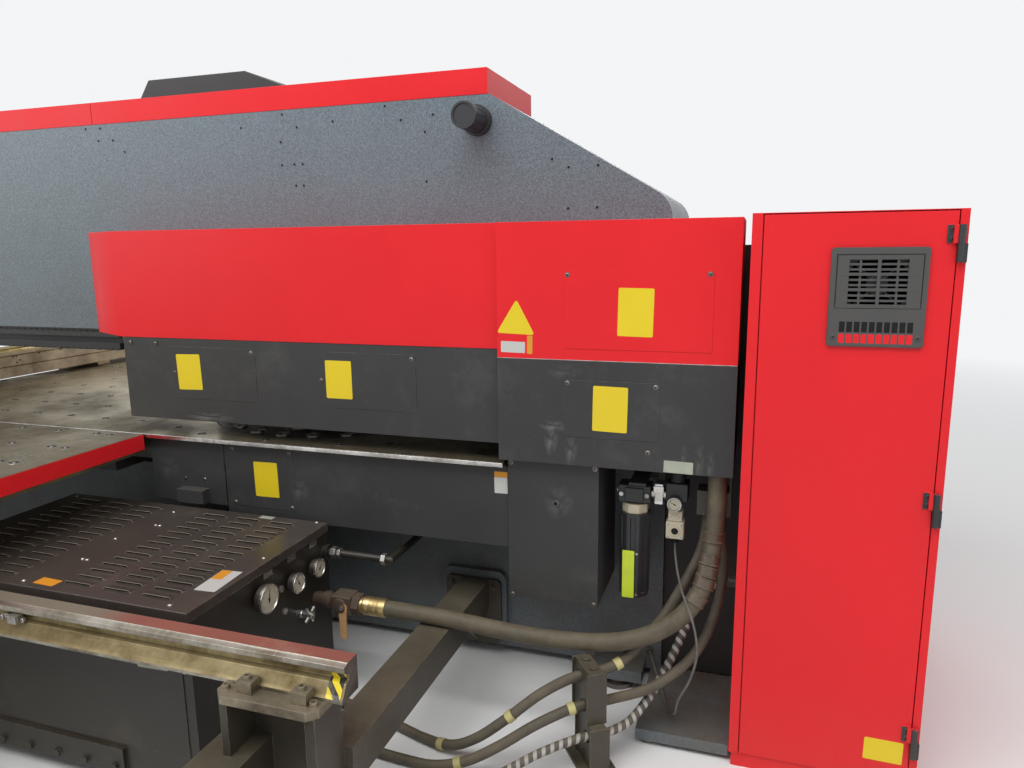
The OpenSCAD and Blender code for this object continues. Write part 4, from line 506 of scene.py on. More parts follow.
# %% Finishes: steels and brass
table_steel = bare_metal("table_steel", (0.140, 0.105, 0.056), (0.56, 0.49, 0.33), rough=(0.24, 0.44), patch=2.2,
                         scratch=0.35, scratch_scale=5.0, top=0.14, dust_colour=(0.15, 0.12, 0.075))
beam_steel = bare_metal("beam_steel", (0.25, 0.19, 0.13), (0.52, 0.43, 0.32), rough=(0.36, 0.52), patch=5.0,
                        scratch=0.2, top=0.2, dust_colour=(0.19, 0.145, 0.10))
bright_steel = bare_metal("bright_steel", (0.42, 0.40, 0.36), (0.74, 0.74, 0.73), rough=(0.16, 0.32), patch=9.0,
                          scratch=0.4, top=0.1, low=0.2)
dark_steel = bare_metal("dark_steel", (0.085, 0.075, 0.065), (0.26, 0.24, 0.22), rough=(0.32, 0.5), patch=6.0,
                        scratch=0.3)
tool_steel = bare_metal("tool_steel", (0.24, 0.22, 0.20), (0.55, 0.54, 0.52), rough=(0.24, 0.4), patch=12.0,
                        scratch=0.3)
rail_head = bare_metal("rail_head", (0.17, 0.145, 0.10), (0.50, 0.47, 0.41), rough=(0.26, 0.46), patch=7.0,
                       scratch=0.5, scratch_scale=3.0, top=0.05, edge=1.0)
rail_web = bare_metal("rail_web", (0.13, 0.095, 0.042), (0.34, 0.28, 0.155), rough=(0.36, 0.55), patch=8.0,
                      scratch=0.3, top=0.3, edge=1.0, dust_colour=(0.15, 0.12, 0.06))
seat_steel = bare_metal("seat_steel", (0.12, 0.10, 0.07), (0.38, 0.33, 0.25), rough=(0.38, 0.55), patch=7.0,
                        scratch=0.3, top=0.3, edge=1.0, dust_colour=(0.17, 0.14, 0.09))
brass = bare_metal("brass", (0.34, 0.24, 0.09), (0.72, 0.56, 0.27), rough=(0.26, 0.42), patch=30.0,
                   scratch=0.3, low=0.2)
gold_strip = bare_metal("gold_strip", (0.36, 0.27, 0.11), (0.70, 0.58, 0.33), rough=(0.3, 0.44), patch=8.0,
                        scratch=0.4)
print("with metals", len(bpy.data.materials))

# %% [markdown]
# The rail's top is painted red, and the paint is rubbed off towards its left end. The
# stickers, the dials and the ink are clean, so they get hardly any dust. The same flat
# black is also painted shade in holes, sockets, gaps, grooves and openings.

# %% Finishes: rail paint, stickers and dials
rail_paint = painted("rail_paint", (0.24, 0.062, 0.046), rough=0.45, cloud=0.25, scuff=0.5,
                     scuff_colour=(0.42, 0.34, 0.26), chip=0.9, chip_colour=(0.45, 0.40, 0.32), top=0.20,
                     low=0.1, dust_colour=(0.26, 0.20, 0.14), bare=((0.86, 0.70), (0.17, 0.15, 0.11)))
label_yellow = painted("label_yellow", (0.74, 0.56, 0.012), rough=0.35, cloud=0.05, chip=0.1, top=0.0, low=0.0)
label_white = painted("label_white", (0.52, 0.52, 0.49), rough=0.4, cloud=0.08, chip=0.2, top=0.0, low=0.05)
label_orange = painted("label_orange", (0.68, 0.28, 0.02), rough=0.4, cloud=0.1, chip=0.2, top=0.0, low=0.05)
label_pale = painted("label_pale", (0.36, 0.39, 0.31), rough=0.35, cloud=0.2, scuff=0.6,
                     scuff_colour=(0.16, 0.17, 0.13), chip=0.3, top=0.0, low=0.0)
label_green = painted("label_green", (0.56, 0.68, 0.03), rough=0.4, cloud=0.12, scuff=0.3,
                      scuff_colour=(0.30, 0.34, 0.08), chip=0.3, top=0.0, low=0.0)
dial_white = painted("dial_white", (0.46, 0.42, 0.32), rough=0.3, cloud=0.08, chip=0.0, top=0.0, low=0.0)
# Flat black: print on the dials, and painted shade where it fills a recess or an opening.
ink_and_shade_black = painted("ink_and_shade_black", (0.012, 0.012, 0.012), rough=0.5, cloud=0.1, chip=0.0, top=0.0, low=0.0,
                    shine=0.15)
print("with stickers and dials", len(bpy.data.materials))

# %% [markdown]
# Rubber hoses are matt, greyed by oil and dust, and show faint rings of their woven
# cover. Their pattern follows the hose, so it reads the tube's own UV: U runs round
# the tube once and V is the distance along it in metres.

# %% Recipe: hose cover
def hose_cover(name, base, pale, ring_pitch=0.006, stripe=None, rough=0.62, dusty_amount=0.5):
    """Rubber whose rings or stripe wind round the hose once in every ring_pitch metres."""
    made, tree, shader = new_material(name)
    vector = add_node(tree, "ShaderNodeTexCoord")
    split = add_node(tree, "ShaderNodeSeparateXYZ")
    tree.links.new(vector.outputs["UV"], split.inputs["Vector"])
    turns = math_node(tree, "ADD", math_node(tree, "DIVIDE", split.outputs["Y"], ring_pitch), split.outputs["X"])
    wave = math_node(tree, "SINE", math_node(tree, "MULTIPLY", turns, math.tau))
    blot = ramp(tree, noise(tree, vector.outputs["Object"], 14.0, detail=9.0, roughness=0.7), 0.35, 0.68)
    colour = mixed(tree, blot, base, pale)
    if stripe:
        colour = mixed(tree, ramp(tree, wave, 0.1, 0.3), colour, stripe)
    dusty = use_group(tree, "settled_dust", Top=dusty_amount, Low=dusty_amount, Height=0.5)
    colour = mixed(tree, dusty, colour, (0.19, 0.155, 0.10))
    tree.links.new(colour, shader.inputs["Base Color"])
    tree.links.new(ramp(tree, blot, 0.0, 1.0, rough - 0.1, rough + 0.12), shader.inputs["Roughness"])
    bump_from(tree, shader, math_node(tree, "ADD", math_node(tree, "MULTIPLY", wave, 0.5), blot), 0.0005)
    return made

# %% [markdown]
# The thick hose is brown with age, the floor hoses are darker, one wears a black and
# white spiral, and the switch has a thin grey cable. Clamp bands and couplings are
# painted metal.

# %% Finishes: hoses, cable and clamp bands
hose_brown = hose_cover("hose_brown", (0.060, 0.050, 0.031), (0.125, 0.104, 0.066), ring_pitch=0.004,
                        dusty_amount=0.3)
hose_grey = hose_cover("hose_grey", (0.050, 0.042, 0.030), (0.105, 0.088, 0.060), ring_pitch=0.003,
                       dusty_amount=0.35)
coupling_brown = painted("coupling_brown", (0.085, 0.060, 0.040), rough=0.4, cloud=0.3, scuff=0.35,
                         scuff_colour=(0.22, 0.17, 0.12), chip=0.8, chip_colour=(0.34, 0.28, 0.20), top=0.2, low=0.1)
hose_spiral = hose_cover("hose_spiral", (0.035, 0.034, 0.033), (0.07, 0.065, 0.06), ring_pitch=0.030,
                         stripe=(0.46, 0.44, 0.40), dusty_amount=0.3)
cable_grey = hose_cover("cable_grey", (0.085, 0.082, 0.078), (0.14, 0.13, 0.12), ring_pitch=0.02, dusty_amount=0.3)
hose_band = painted("hose_band", (0.56, 0.50, 0.20), rough=0.5, cloud=0.3, scuff=0.4, scuff_colour=(0.25, 0.22, 0.12),
                    top=0.3, low=0.3)
print("materials", len(bpy.data.materials))

# %% [markdown]
# The machine stands on a plain pale floor, a grid of two by two squares. It is a stage
# piece, so it isn't part of the object.

# %% Floor
floor_bm = bmesh.new()
bmesh.ops.create_grid(floor_bm, x_segments=2, y_segments=2, size=30.0)
floor_mesh = bpy.data.meshes.new("studio_floor")
floor_bm.to_mesh(floor_mesh)
floor_bm.free()
floor = bpy.data.objects.new("studio_floor", floor_mesh)
bpy.context.scene.collection.objects.link(floor)

floor_finish = bpy.data.materials.new("studio_floor")
floor_finish.use_nodes = True
floor_tree = floor_finish.node_tree
floor_shader = floor_tree.nodes["Principled BSDF"]
floor_shader.inputs["Base Color"].default_value = (0.80, 0.80, 0.79, 1.0)
floor_shader.inputs["Roughness"].default_value = 0.75
floor_mesh.materials.append(floor_finish)
print("floor", tuple(round(v, 1) for v in floor.dimensions))

# %% [markdown]
# Far from the machine the floor fades into the backdrop, so that no horizon line shows.
# Only rays from the camera, or from a reflection, see the pale backdrop: the light on
# the machine comes from a dimmer world and the lamps.

# %% Backdrop
BACKDROP = {"Color": (0.90, 0.91, 0.92, 1.0), "Strength": 1.0}


def seen_rays(tree):
    """One where a ray comes from the camera, a reflection or a transmission."""
    path = add_node(tree, "ShaderNodeLightPath")
    seen = math_node(tree, "MAXIMUM", path.outputs["Is Camera Ray"], path.outputs["Is Glossy Ray"])
    return math_node(tree, "MAXIMUM", seen, path.outputs["Is Transmission Ray"])


def mix_shaders(tree, factor, first, second, output):
    """Mixes two shaders by a factor into an output."""
    both = add_node(tree, "ShaderNodeMixShader")
    for socket, value in zip(both.inputs, (factor, first, second)):
        tree.links.new(value, socket)
    tree.links.new(both.outputs[0], output)


FADE_START, FADE_END = 4.0, 11.0
distance = add_node(floor_tree, "ShaderNodeVectorMath", operation="LENGTH")
floor_tree.links.new(add_node(floor_tree, "ShaderNodeTexCoord").outputs["Object"], distance.inputs[0])
faded = ramp(floor_tree, distance.outputs["Value"], FADE_START, FADE_END)
far_away = math_node(floor_tree, "MULTIPLY", faded, seen_rays(floor_tree))
glow = add_node(floor_tree, "ShaderNodeEmission", BACKDROP)
mix_shaders(floor_tree, far_away, floor_shader.outputs[0], glow.outputs[0],
            floor_tree.nodes["Material Output"].inputs["Surface"])

world = bpy.data.worlds.new("studio")
bpy.context.scene.world = world
world.use_nodes = True
sky_tree = world.node_tree
sky = sky_tree.nodes["Background"]
sky.inputs["Color"].default_value = (0.86, 0.88, 0.92, 1.0)
sky.inputs["Strength"].default_value = 0.38
backdrop = add_node(sky_tree, "ShaderNodeBackground", BACKDROP)
mix_shaders(sky_tree, seen_rays(sky_tree), sky.outputs[0], backdrop.outputs[0],
            sky_tree.nodes["World Output"].inputs["Surface"])
print("backdrop from", FADE_START, "to", FADE_END, "m")

# %% [markdown]
# The light is soft and plain: one large lamp over the front, weaker ones from the left
# and the right and one from behind, so that a colour renders about as it is written.

# %% Lamps
def add_lamp(name, where, aim, size, power):
    """A rectangular lamp that looks at a point; sizes in metres, power in watts."""
    lamp = bpy.data.lights.new(name, "AREA")
    lamp.shape = "RECTANGLE"
    lamp.size, lamp.size_y = size
    lamp.energy = power
    made = bpy.data.objects.new(name, lamp)
    bpy.context.scene.collection.objects.link(made)
    made.location = where
    made.rotation_euler = (Vector(aim) - Vector(where)).to_track_quat("-Z", "Y").to_euler()
    print(name, power, "W")


add_lamp("roof_light", (0.5, -4.5, 7.5), (0.5, -0.3, 1.0), (9.0, 4.0), 560.0)
add_lamp("left_light", (-7.0, -5.5, 4.0), (0.0, -0.5, 1.0), (4.0, 4.0), 115.0)
add_lamp("right_light", (7.5, -4.0, 3.5), (1.5, -0.5, 1.0), (3.0, 3.0), 70.0)
add_lamp("back_light", (0.0, 8.0, 6.0), (0.0, 0.0, 1.2), (7.0, 3.0), 220.0)
bpy.context.scene.view_settings.view_transform = "Standard"

# %% [markdown]
# Hoses come first, because their routes decide how much room the machine takes. Each
# one is a ring of edges that is extruded from point to point along its smooth route.

# %% Routes of the hoses and the cable, in millimetres
ROUTES = {
    "main_hose": [(1140, -795, 385), (1240, -795, 384), (1340, -795, 382), (1450, -796, 378), (1570, -797, 371),
                  (1690, -798, 367), (1810, -799, 370), (1930, -798, 381), (2040, -794, 405), (2140, -781, 450),
                  (2215, -760, 512), (2265, -728, 592), (2287, -690, 700), (2297, -665, 830), (2297, -660, 960)],
    "floor_hose_1": [(2262, -570, 800), (2259, -572, 725), (2240, -584, 640), (2200, -615, 555), (2150, -667, 468),
                     (2090, -724, 390), (2022, -787, 328), (1970, -825, 306), (1913, -865, 300), (1856, -905, 293),
                     (1770, -957, 252), (1670, -1000, 172), (1570, -1015, 92), (1470, -1005, 38), (1340, -968, 18),
                     (1180, -920, 18), (1000, -890, 34), (845, -885, 60)],
    "floor_hose_2": [(2305, -570, 800), (2315, -575, 720), (2324, -588, 630), (2320, -612, 540), (2300, -648, 450),
                     (2262, -690, 362), (2200, -735, 293), (2110, -788, 238), (1987, -850, 212), (1930, -890, 210),
                     (1873, -930, 206), (1770, -998, 170), (1660, -1050, 105), (1550, -1082, 48), (1420, -1096, 18),
                     (1230, -1085, 18), (1030, -1050, 34), (845, -1035, 60)],
    "floor_hose_3": [(2340, -500, 520), (2300, -504, 512), (2255, -535, 472), (2215, -595, 400), (2170, -670, 300),
                     (2120, -745, 212), (2060, -825, 142), (2004, -875, 118), (1947, -915, 115), (1890, -955, 113),
                     (1790, -1025, 90), (1680, -1095, 45), (1560, -1155, 16), (1380, -1190, 15), (1100, -1180, 15),
                     (845, -1175, 60)],
    "switch_cable": [(2160, -585, 683), (2162, -590, 645), (2176, -640, 600), (2196, -712, 574), (2216, -778, 562),
                     (2240, -826, 532), (2258, -852, 480), (2262, -856, 410), (2240, -828, 310), (2204, -785, 210),
                     (2188, -735, 125), (2150, -610, 68), (2052, -352, 120)],
}


def smooth_route(points, step=0.02, lowest=0.0):
    """A smooth line through the points, in metres, with a point about every step and none below lowest."""
    points = [mm(*p) for p in points]
    line = []
    for i in range(len(points) - 1):
        a, b = points[i], points[i + 1]
        before = points[i - 1] if i else a - (b - a)
        after = points[i + 2] if i + 2 < len(points) else b + (b - a)
        n = max(2, round((b - a).length / step))
        for k in range(n):
            t = k / n
            line.append(0.5 * (2 * a + (b - before) * t + (2 * before - 5 * a + 4 * b - after) * t * t
                               + (3 * a - before - 3 * b + after) * t ** 3))
    line.append(points[-1])
    for point in line:
        point.z = max(point.z, lowest)
    return line


def run_length(line):
    """The length of a line of points, in metres."""
    return sum((b - a).length for a, b in zip(line, line[1:]))


def ring_frames(line):
    """A place at each point that keeps +Z along the line without twisting."""
    turn = Vector((0, 0, 1)).rotation_difference(line[1] - line[0])
    frames = []
    for i, point in enumerate(line):
        ahead = line[min(i + 1, len(line) - 1)] - line[max(i - 1, 0)]
        turn = (turn @ Vector((0, 0, 1))).rotation_difference(ahead) @ turn
        frames.append(Matrix.Translation(point) @ turn.to_matrix().to_4x4())
    return frames


def tube_along(bm, line, radius, sides=16, swell=None):
    """Extrudes a closed tube along a line; UV is turns round, metres along, and swell(both) scales its radius."""
    frames = ring_frames(line)
    ring = bmesh.ops.create_circle(bm, segments=sides, radius=radius)["verts"]
    bmesh.ops.transform(bm, matrix=frames[0], verts=ring)
    uv = bm.loops.layers.uv.verify()
    share = {v: k / sides for k, v in enumerate(ring)}
    metres = {v: 0.0 for v in ring}
    station = {v: 0 for v in ring}
    edges = [e for e in bm.edges if e.verts[0] in share and e.verts[1] in share]
    bmesh.ops.contextual_create(bm, geom=edges)
    gone = 0.0
    for i in range(1, len(line)):
        gone += (line[i] - line[i - 1]).length
        made = bmesh.ops.extrude_edge_only(bm, edges=edges)["geom"]
        verts = [g for g in made if isinstance(g, bmesh.types.BMVert)]
        bmesh.ops.transform(bm, matrix=frames[i] @ frames[i - 1].inverted(), verts=verts)
        fresh = set(verts)
        edges = [g for g in made if isinstance(g, bmesh.types.BMEdge) and g.verts[0] in fresh and g.verts[1] in fresh]
        for v in verts:
            old = [e.other_vert(v) for e in v.link_edges if e.other_vert(v) not in fresh][0]
            share[v], metres[v], station[v] = share[old], gone, i
    bmesh.ops.contextual_create(bm, geom=edges)
    for face in bm.faces:
        turns = [share[loop.vert] for loop in face.loops]
        wraps = len(turns) == 4 and max(turns) - min(turns) > 0.5
        for loop, turned in zip(face.loops, turns):
            loop[uv].uv = (turned + (1.0 if wraps and turned < 0.5 else 0.0), metres[loop.vert])
    if swell:
        for v in share:
            v.co = line[station[v]] + (v.co - line[station[v]]) * swell(metres[v], share[v])
    bmesh.ops.recalc_face_normals(bm, faces=bm.faces)
    return frames

# %% [markdown]
# A hose is a tube along its route, kept just off the floor, that stands for the CAD's
# plainer one and says its length and ends. Bands are turned on a lathe and put round
# the same route.

# %% Helpers for cords
FLOOR_GAP = 1.06


def hose(name, radius, material, slot, step=0.02, sides=16, swell=None):
    """A cord along its route, with its radius in metres."""
    line = smooth_route(ROUTES[name], step, lowest=radius * FLOOR_GAP)
    bm = bmesh.new()
    tube_along(bm, line, radius, sides, swell)
    piece = piece_from(bm, name + "_tube", "frame", material, slot=slot, smooth=60)
    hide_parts(name)
    print(name, "length", round(run_length(line), 3), "m")


def bands_on(name, places, radius, width, material, slot, lip=0.0):
    """Bands round a hose at distances along it in metres; radius and width are in millimetres."""
    line = smooth_route(ROUTES[name], lowest=radius * FLOOR_GAP / 1000.0)
    frames = ring_frames(line)
    bm = bmesh.new()
    half, outer = width / 2.0, radius + 3.0
    outline = [(radius - 1, -half), (outer + lip, -half), (outer + lip, 3 - half), (outer, 5 - half),
               (outer, half - 5), (outer + lip, half - 3), (outer + lip, half), (radius - 1, half)]
    for place in places:
        total, i = 0.0, 0
        while total < place and i < len(line) - 1:
            total += (line[i + 1] - line[i]).length
            i += 1
        add_lathe(bm, outline, frames[i], steps=24)
        print(name, "band at", place, "m, height", round(line[i].z, 3))
    return piece_from(bm, name + "_bands", "frame", material, slot=slot, smooth=40)

# %% [markdown]
# The big hose is thick rubber with a crimped ferrule at the tank and brown clamp bands
# where it bends up into the machine. Two floor hoses have pale yellow bands, and the
# third is wrapped in a black and white spiral with real ridges.

# %% Cords: hoses and the switch cable
main_bands = bands_on("main_hose", (1.16, 1.22, 1.265, 1.31, 1.37), 30, 34, coupling_brown, "hose_rubber", lip=2.5)
hose("main_hose", 0.030, hose_brown, "hose_rubber", sides=24,
     swell=lambda d, a: 1.0 + 0.004 * math.sin(d * 90.0))
bands_1 = bands_on("floor_hose_1", (0.62, 1.03, 1.33), 17, 24, hose_band, "tan_paint")
hose("floor_hose_1", 0.017, hose_grey, "hose_rubber", sides=14)
bands_2 = bands_on("floor_hose_2", (0.95, 1.38), 17, 24, hose_band, "tan_paint")
hose("floor_hose_2", 0.017, hose_grey, "hose_rubber", sides=14)
hose("floor_hose_3", 0.014, hose_spiral, "cable_rubber", step=0.006, sides=16,
     swell=lambda d, a: 1.0 + 0.05 * max(0.0, math.sin(math.tau * (d / 0.030 + a))))
hose("switch_cable", 0.004, cable_grey, "cable_rubber", step=0.015, sides=10)

# %% [markdown]
# Folded sheet never has a knife edge. Every CAD node that stays gets its finish, and
# each one with a bend gets a short stack of modifiers: Weld joins its loose triangles,
# Decimate clears the flat ones, Bevel rounds the edges by the sheet's bend, and
# Weighted Normal keeps the big faces flat. The CAD mesh itself isn't changed.

# %% Finish and edge rounding for the CAD nodes
def dress(node, material, bend=0.0, segments=2, flat=0.3):
    """Gives a node its finish and rounds its edges; bend is in millimetres, flat in degrees."""
    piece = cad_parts[node]
    for socket in piece.material_slots:
        socket.material = material
    if not bend:
        return
    weld = piece.modifiers.new("join", "WELD")
    weld.merge_threshold = 0.00002
    clear = piece.modifiers.new("clear", "DECIMATE")
    clear.decimate_type = "DISSOLVE"
    clear.angle_limit = math.radians(flat)
    rounding = piece.modifiers.new("bend", "BEVEL")
    rounding.width = bend / 1000.0
    rounding.segments = segments
    rounding.limit_method = "ANGLE"
    rounding.angle_limit = math.radians(32)
    rounding.use_clamp_overlap = True
    normals = piece.modifiers.new("normals", "WEIGHTED_NORMAL")
    normals.keep_sharp = False


FINISH = {
    "bridge_frame": (frame_paint, 0), "roof_covers": (red_enamel, 3), "ram_cover": (black_plastic, 4),
    "breather": (black_plastic, 0.8), "levelling_pads": (dark_steel, 0),
    "turret_cover_near_red": (red_enamel, 4), "turret_cover_near_dark": (cover_paint, 4),
    "turret_cover_far_red": (red_enamel, 4), "turret_cover_far_dark": (cover_paint, 4),
    "drive_cover_red": (red_enamel, 4), "drive_cover_dark": (drive_cover_paint, 4),
    "side_panels": (cover_paint, 3), "pillar_cover": (cover_paint, 3), "table_bed": (bed_paint, 0),
    "centre_table": (table_steel, 1), "edge_strips": (bright_steel, 1), "turret_posts": (dark_steel, 0),
    "rail_seats": (seat_steel, 1.5), "support_arms_near": (support_paint, 2),
    "support_arms_far": (support_paint, 2), "cable_chain": (black_plastic, 0.8),
    "power_tank": (tank_paint, 2.5), "shutoff_lever": (tan_coat, 1), "vent_handle": (bright_steel, 0.8),
    "hose_clamps": (support_paint, 1.5), "cabinet_body": (red_enamel, 3), "cabinet_door": (red_enamel, 3),
    "cabinet_hinges": (black_plastic, 0.8), "feed_beam": (beam_steel, 2), "beam_guides": (gold_strip, 0),
    "side_table_near": (table_steel, 0), "side_table_far": (table_steel, 0),
    "side_fascias": (red_enamel, 0.8), "clamp_carriage": (dark_steel, 1), "clamp_bodies": (dark_steel, 1),
    "clamp_jaws": (tool_steel, 0.5), "roller_near": (dark_steel, 0.8), "roller_far": (dark_steel, 0.8),
    "upper_turret": (dark_steel, 1), "lower_turret": (dark_steel, 1), "punch_set": (tool_steel, 0),
    "die_set": (tool_steel, 0), "ram": (bright_steel, 0.5), "fan_wheel": (black_plastic, 0.5),
    "filter_fan": (dark_plastic, 0),
}
REPLACED = {"cover_hatches", "power_lid", "feed_rails", "centre_balls", "side_balls", "pressure_gauges",
            "shutoff_valve", "air_filter", "air_regulator", "pressure_switch", *ROUTES}
for node, (material, bend) in FINISH.items():
    dress(node, material, bend)
print("without a finish", sorted(set(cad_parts) - set(FINISH) - REPLACED))

# %% [markdown]
# Plates, labels and hatches are all thin rectangles with round corners. One helper
# bevels the four upright edges of a flat block, then eases the rim, and puts it on a
# face of the machine: near and far look along Y, right and left along X, top up.

# %% Helper: rounded plates on a face
BACK = (0, 1, 0)
FACES = {"near": (RIGHT, UP, FRONT), "far": (LEFT, UP, BACK), "right": (BACK, UP, RIGHT), "top": (RIGHT, BACK, UP)}


def on_face(x, y, z, facing, angle=0.0):
    """A place in millimetres whose +Z looks out of a face and whose +Y points up on it."""
    across, up, out = FACES[facing]
    turned = Matrix((across, up, out)).transposed().to_4x4()
    return Matrix.Translation(mm(x, y, z)) @ turned @ Matrix.Rotation(math.radians(angle), 4, "Z")


def add_plate(bm, width, height, thick, corner, place, material=0, rim=0.3):
    """A plate of a width and height that stands thick millimetres out of its place."""
    part = bmesh.new()
    bmesh.ops.create_cube(part, size=1.0, matrix=Matrix.Translation(mm(0, 0, thick / 2))
                          @ Matrix.Diagonal((width / 1000.0, height / 1000.0, thick / 1000.0, 1.0)))
    round_edges(part, [e for e in part.edges if abs(e.verts[0].co.z - e.verts[1].co.z) > thick / 2000.0], corner, 4)
    top = max(v.co.z for v in part.verts) - 1e-6
    round_edges(part, [e for e in part.edges if all(v.co.z > top for v in e.verts)], rim)
    join_part(bm, part, place, material)


def lathe_template(name, outline, steps, materials=None):
    """A small turned part, kept as a template."""
    bm = bmesh.new()
    add_lathe(bm, outline, Matrix.Identity(4), steps=steps, materials=materials)
    return template_from(bm, name)

# %% [markdown]
# The covers are held by small button screws with a washer, and some two dozen tapped
# holes in the frame wait for brackets. Both repeat often, so each is a lathe turned once as a
# template with few faces, then stamped at its places on the near and the far side.

# %% Screws and tapped holes
# The screw's hex socket and the tapped hole's floor take material 1, the flat black: painted shade in the recess.
button_screw = lathe_template("button_screw", [(0, 1.6), (2.4, 1.6), (2.7, 3.8), (5.2, 3.4), (6.6, 1.6), (6.8, 1.0),
                                               (8.6, 0.9), (8.8, 0)], 12, [1, 1, 0, 0, 0, 0, 0])
tapped_hole = lathe_template("tapped_hole", [(0, 0.3), (4.4, 0.3), (5.0, 1.2), (7.0, 0.9), (7.4, 0)], 12,
                             [1, 1, 0, 0])

COVER_SCREWS = [(1803, 1609, 707), (2255, 1611, 707), (1803, 1252, 707), (2096, 1250, 707), (2075, 1030, 705),
                (147, 1213, 669.5), (835, 1211, 669.5), (-65, 1331, 670), (64, 1330, 670), (524, 1305, 669.5),
                (1214, 1305, 669.5), (392, 906, 662), (662, 906, 662), (392, 682, 662), (662, 682, 662),
                (145, 761, 660), (243, 765, 660), (1590, 948, 670), (1892, 948, 670), (1590, 450, 670),
                (1892, 450, 670)]
FAR_SCREWS = [(x, z) for x in (-80, 630, 1340, 2050) for z in (1400, 1740)]
FAR_COVER, FRAME_FACE = 670, 340
FRAME_HOLES = [(-528, 2246), (-445, 2244), (-462, 2191), (-379, 2189), (-319, 2137), (306, 2203), (510, 2244),
               (576, 2190), (495, 2136), (495, 2044), (555, 2045), (594, 2044), (557, 1960), (594, 1959), (744, 2203),
               (978, 2246), (1045, 2190), (1182, 2202), (1147, 2140), (1147, 1955), (1653, 2016), (1716, 1985),
               (1825, 1987), (1714, 1838), (1823, 1839)]

bm = bmesh.new()
for x, z, y in COVER_SCREWS:
    stamp(bm, button_screw, on_face(x, -y, z, "near"))
for x, z in FAR_SCREWS:
    stamp(bm, button_screw, on_face(x, FAR_COVER, z, "far"))
piece_from(bm, "cover_screws", "frame", dark_steel, ink_and_shade_black, slot="dark_steel", smooth=50)

bm = bmesh.new()
for x, z in FRAME_HOLES:
    stamp(bm, tapped_hole, on_face(x, -FRAME_FACE, z, "near"))
    stamp(bm, tapped_hole, on_face(x, FRAME_FACE, z, "far"))
piece_from(bm, "tapped_holes", "frame", frame_paint, ink_and_shade_black, slot="frame_paint", smooth=50)

# %% [markdown]
# The hatches are plates of 2 mm sheet over openings in the covers. Four are dark and
# one is red, so they are two pieces that stand for one CAD node: its shape can't take
# two finishes. Each keeps the CAD's place and thickness and gets a softly rolled rim.

# %% Hatches
HATCHES = {"hatches_dark": [(130, 540, 1107, 1320, -667.5), (846, 1229, 1107, 1320, -667.5),
                            (1791, 2107, 1068, 1262, -705), (378, 676, 668, 920, -660)],
           "hatch_red": [(1791, 2267, 1367, 1621, -705)]}
for name, plates in HATCHES.items():
    bm = bmesh.new()
    for x0, x1, z0, z1, y in plates:
        middle = on_face((x0 + x1) / 2, y, (z0 + z1) / 2, "near")
        add_plate(bm, x1 - x0, z1 - z0, 2.0, 5, middle, rim=0.9)
    hatch = piece_from(bm, name, "frame", red_enamel if name == "hatch_red" else cover_paint,
                       slot="red_paint" if name == "hatch_red" else "cover_paint", smooth=35)
    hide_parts("cover_hatches")

# %% [markdown]
# Stickers on the machine are plain fields of colour, cut with round corners: yellow
# plates, white and orange strips and worn foil. They are 0.5 mm thick, so they catch
# the light at their rims and are real geometry.

# %% Plain plates and labels
LID_TOP = 650


def labels(name, material, slot, places, body="frame", thick=0.5, corner=5):
    """One piece of plates from (width, height, place) rows."""
    bm = bmesh.new()
    for width, height, place in places:
        add_plate(bm, width, height, thick, corner, place, rim=0.15)
    return piece_from(bm, name, body, material, slot=slot, smooth=35)


labels("yellow_plates", label_yellow, "tan_paint",
       [(116, 145, on_face(221, -669.5, 1217, "near", 1.5)), (111, 145, on_face(909.5, -669.5, 1215.5, "near")),
        (114, 155, on_face(2027, -707, 1489.5, "near", -1)), (116, 153, on_face(1948, -707, 1168.5, "near", -1)),
        (111, 145, on_face(547.5, -662, 789.5, "near", 1)), (111, 145, on_face(400, 670, 1560, "far"))])
labels("white_labels", label_white, "pale_cast",
       [(86, 38, on_face(1613, -705, 1366, "near", -1)), (50, 60, on_face(1547, -660, 856, "near", 1)),
        (76, 150, on_face(781, -1247, LID_TOP, "top", 4))], corner=3)
labels("orange_labels", label_orange, "tan_paint",
       [(19, 62, on_face(1672.5, -705, 1375.5, "near", -1)), (50, 20, on_face(1547, -660, 897, "near", 1)),
        (38, 66, on_face(761, -1208, LID_TOP + 0.5, "top", 4)),
        (84, 42, on_face(250, -1415, LID_TOP, "top", -2))], corner=2)
labels("foil_labels", label_pale, "dark_steel",
       [(94, 40, on_face(2174, -705, 988, "near", -1)), (115, 22, on_face(691, -1459, 457, "near", 2)),
        (62, 26, on_face(575, -712, LID_TOP, "top", 0))], corner=2)
labels("door_plate", label_yellow, "tan_paint", [(110, 74, on_face(2826, -780, 155, "near", -1))],
       body="door")

# %% [markdown]
# The dark half of the drive cover ends in a folded lip that years of hands have
# rubbed bright. The moving halves of the hinges are black sleeves over the pins.

# %% Bright seam and hinge sleeves
bm = bmesh.new()
add_block(bm, (1557, -705.7, 1327.2), (2344, -704.8, 1329.4), bevel=0.3)
piece_from(bm, "cover_seam", "frame", tool_steel, slot="tool_steel")

HINGE_X, HINGE_Y, HINGE_FEET = 2906, -789.5, (202, 945, 1696)
bm = bmesh.new()
for z in HINGE_FEET:
    add_lathe(bm, [(9.05, 0), (9.6, 0.6), (9.6, 49.4), (9.05, 50)], at(HINGE_X, HINGE_Y, z), steps=24)
    add_block(bm, (2871.5, -783.6, z + 0.5), (2898, -782.9, z + 49.5), bevel=0.3)
    for dz in (12, 38):
        stamp(bm, button_screw, on_face(2884, -783.6, z + dz, "near"))
piece_from(bm, "hinge_sleeves", "door", black_plastic, ink_and_shade_black, slot="black_plastic", smooth=40)

# %% [markdown]
# The triangle starts as a circle of three sides. Extruded and with its upright edges
# beveled it has the round corners that the real one has.

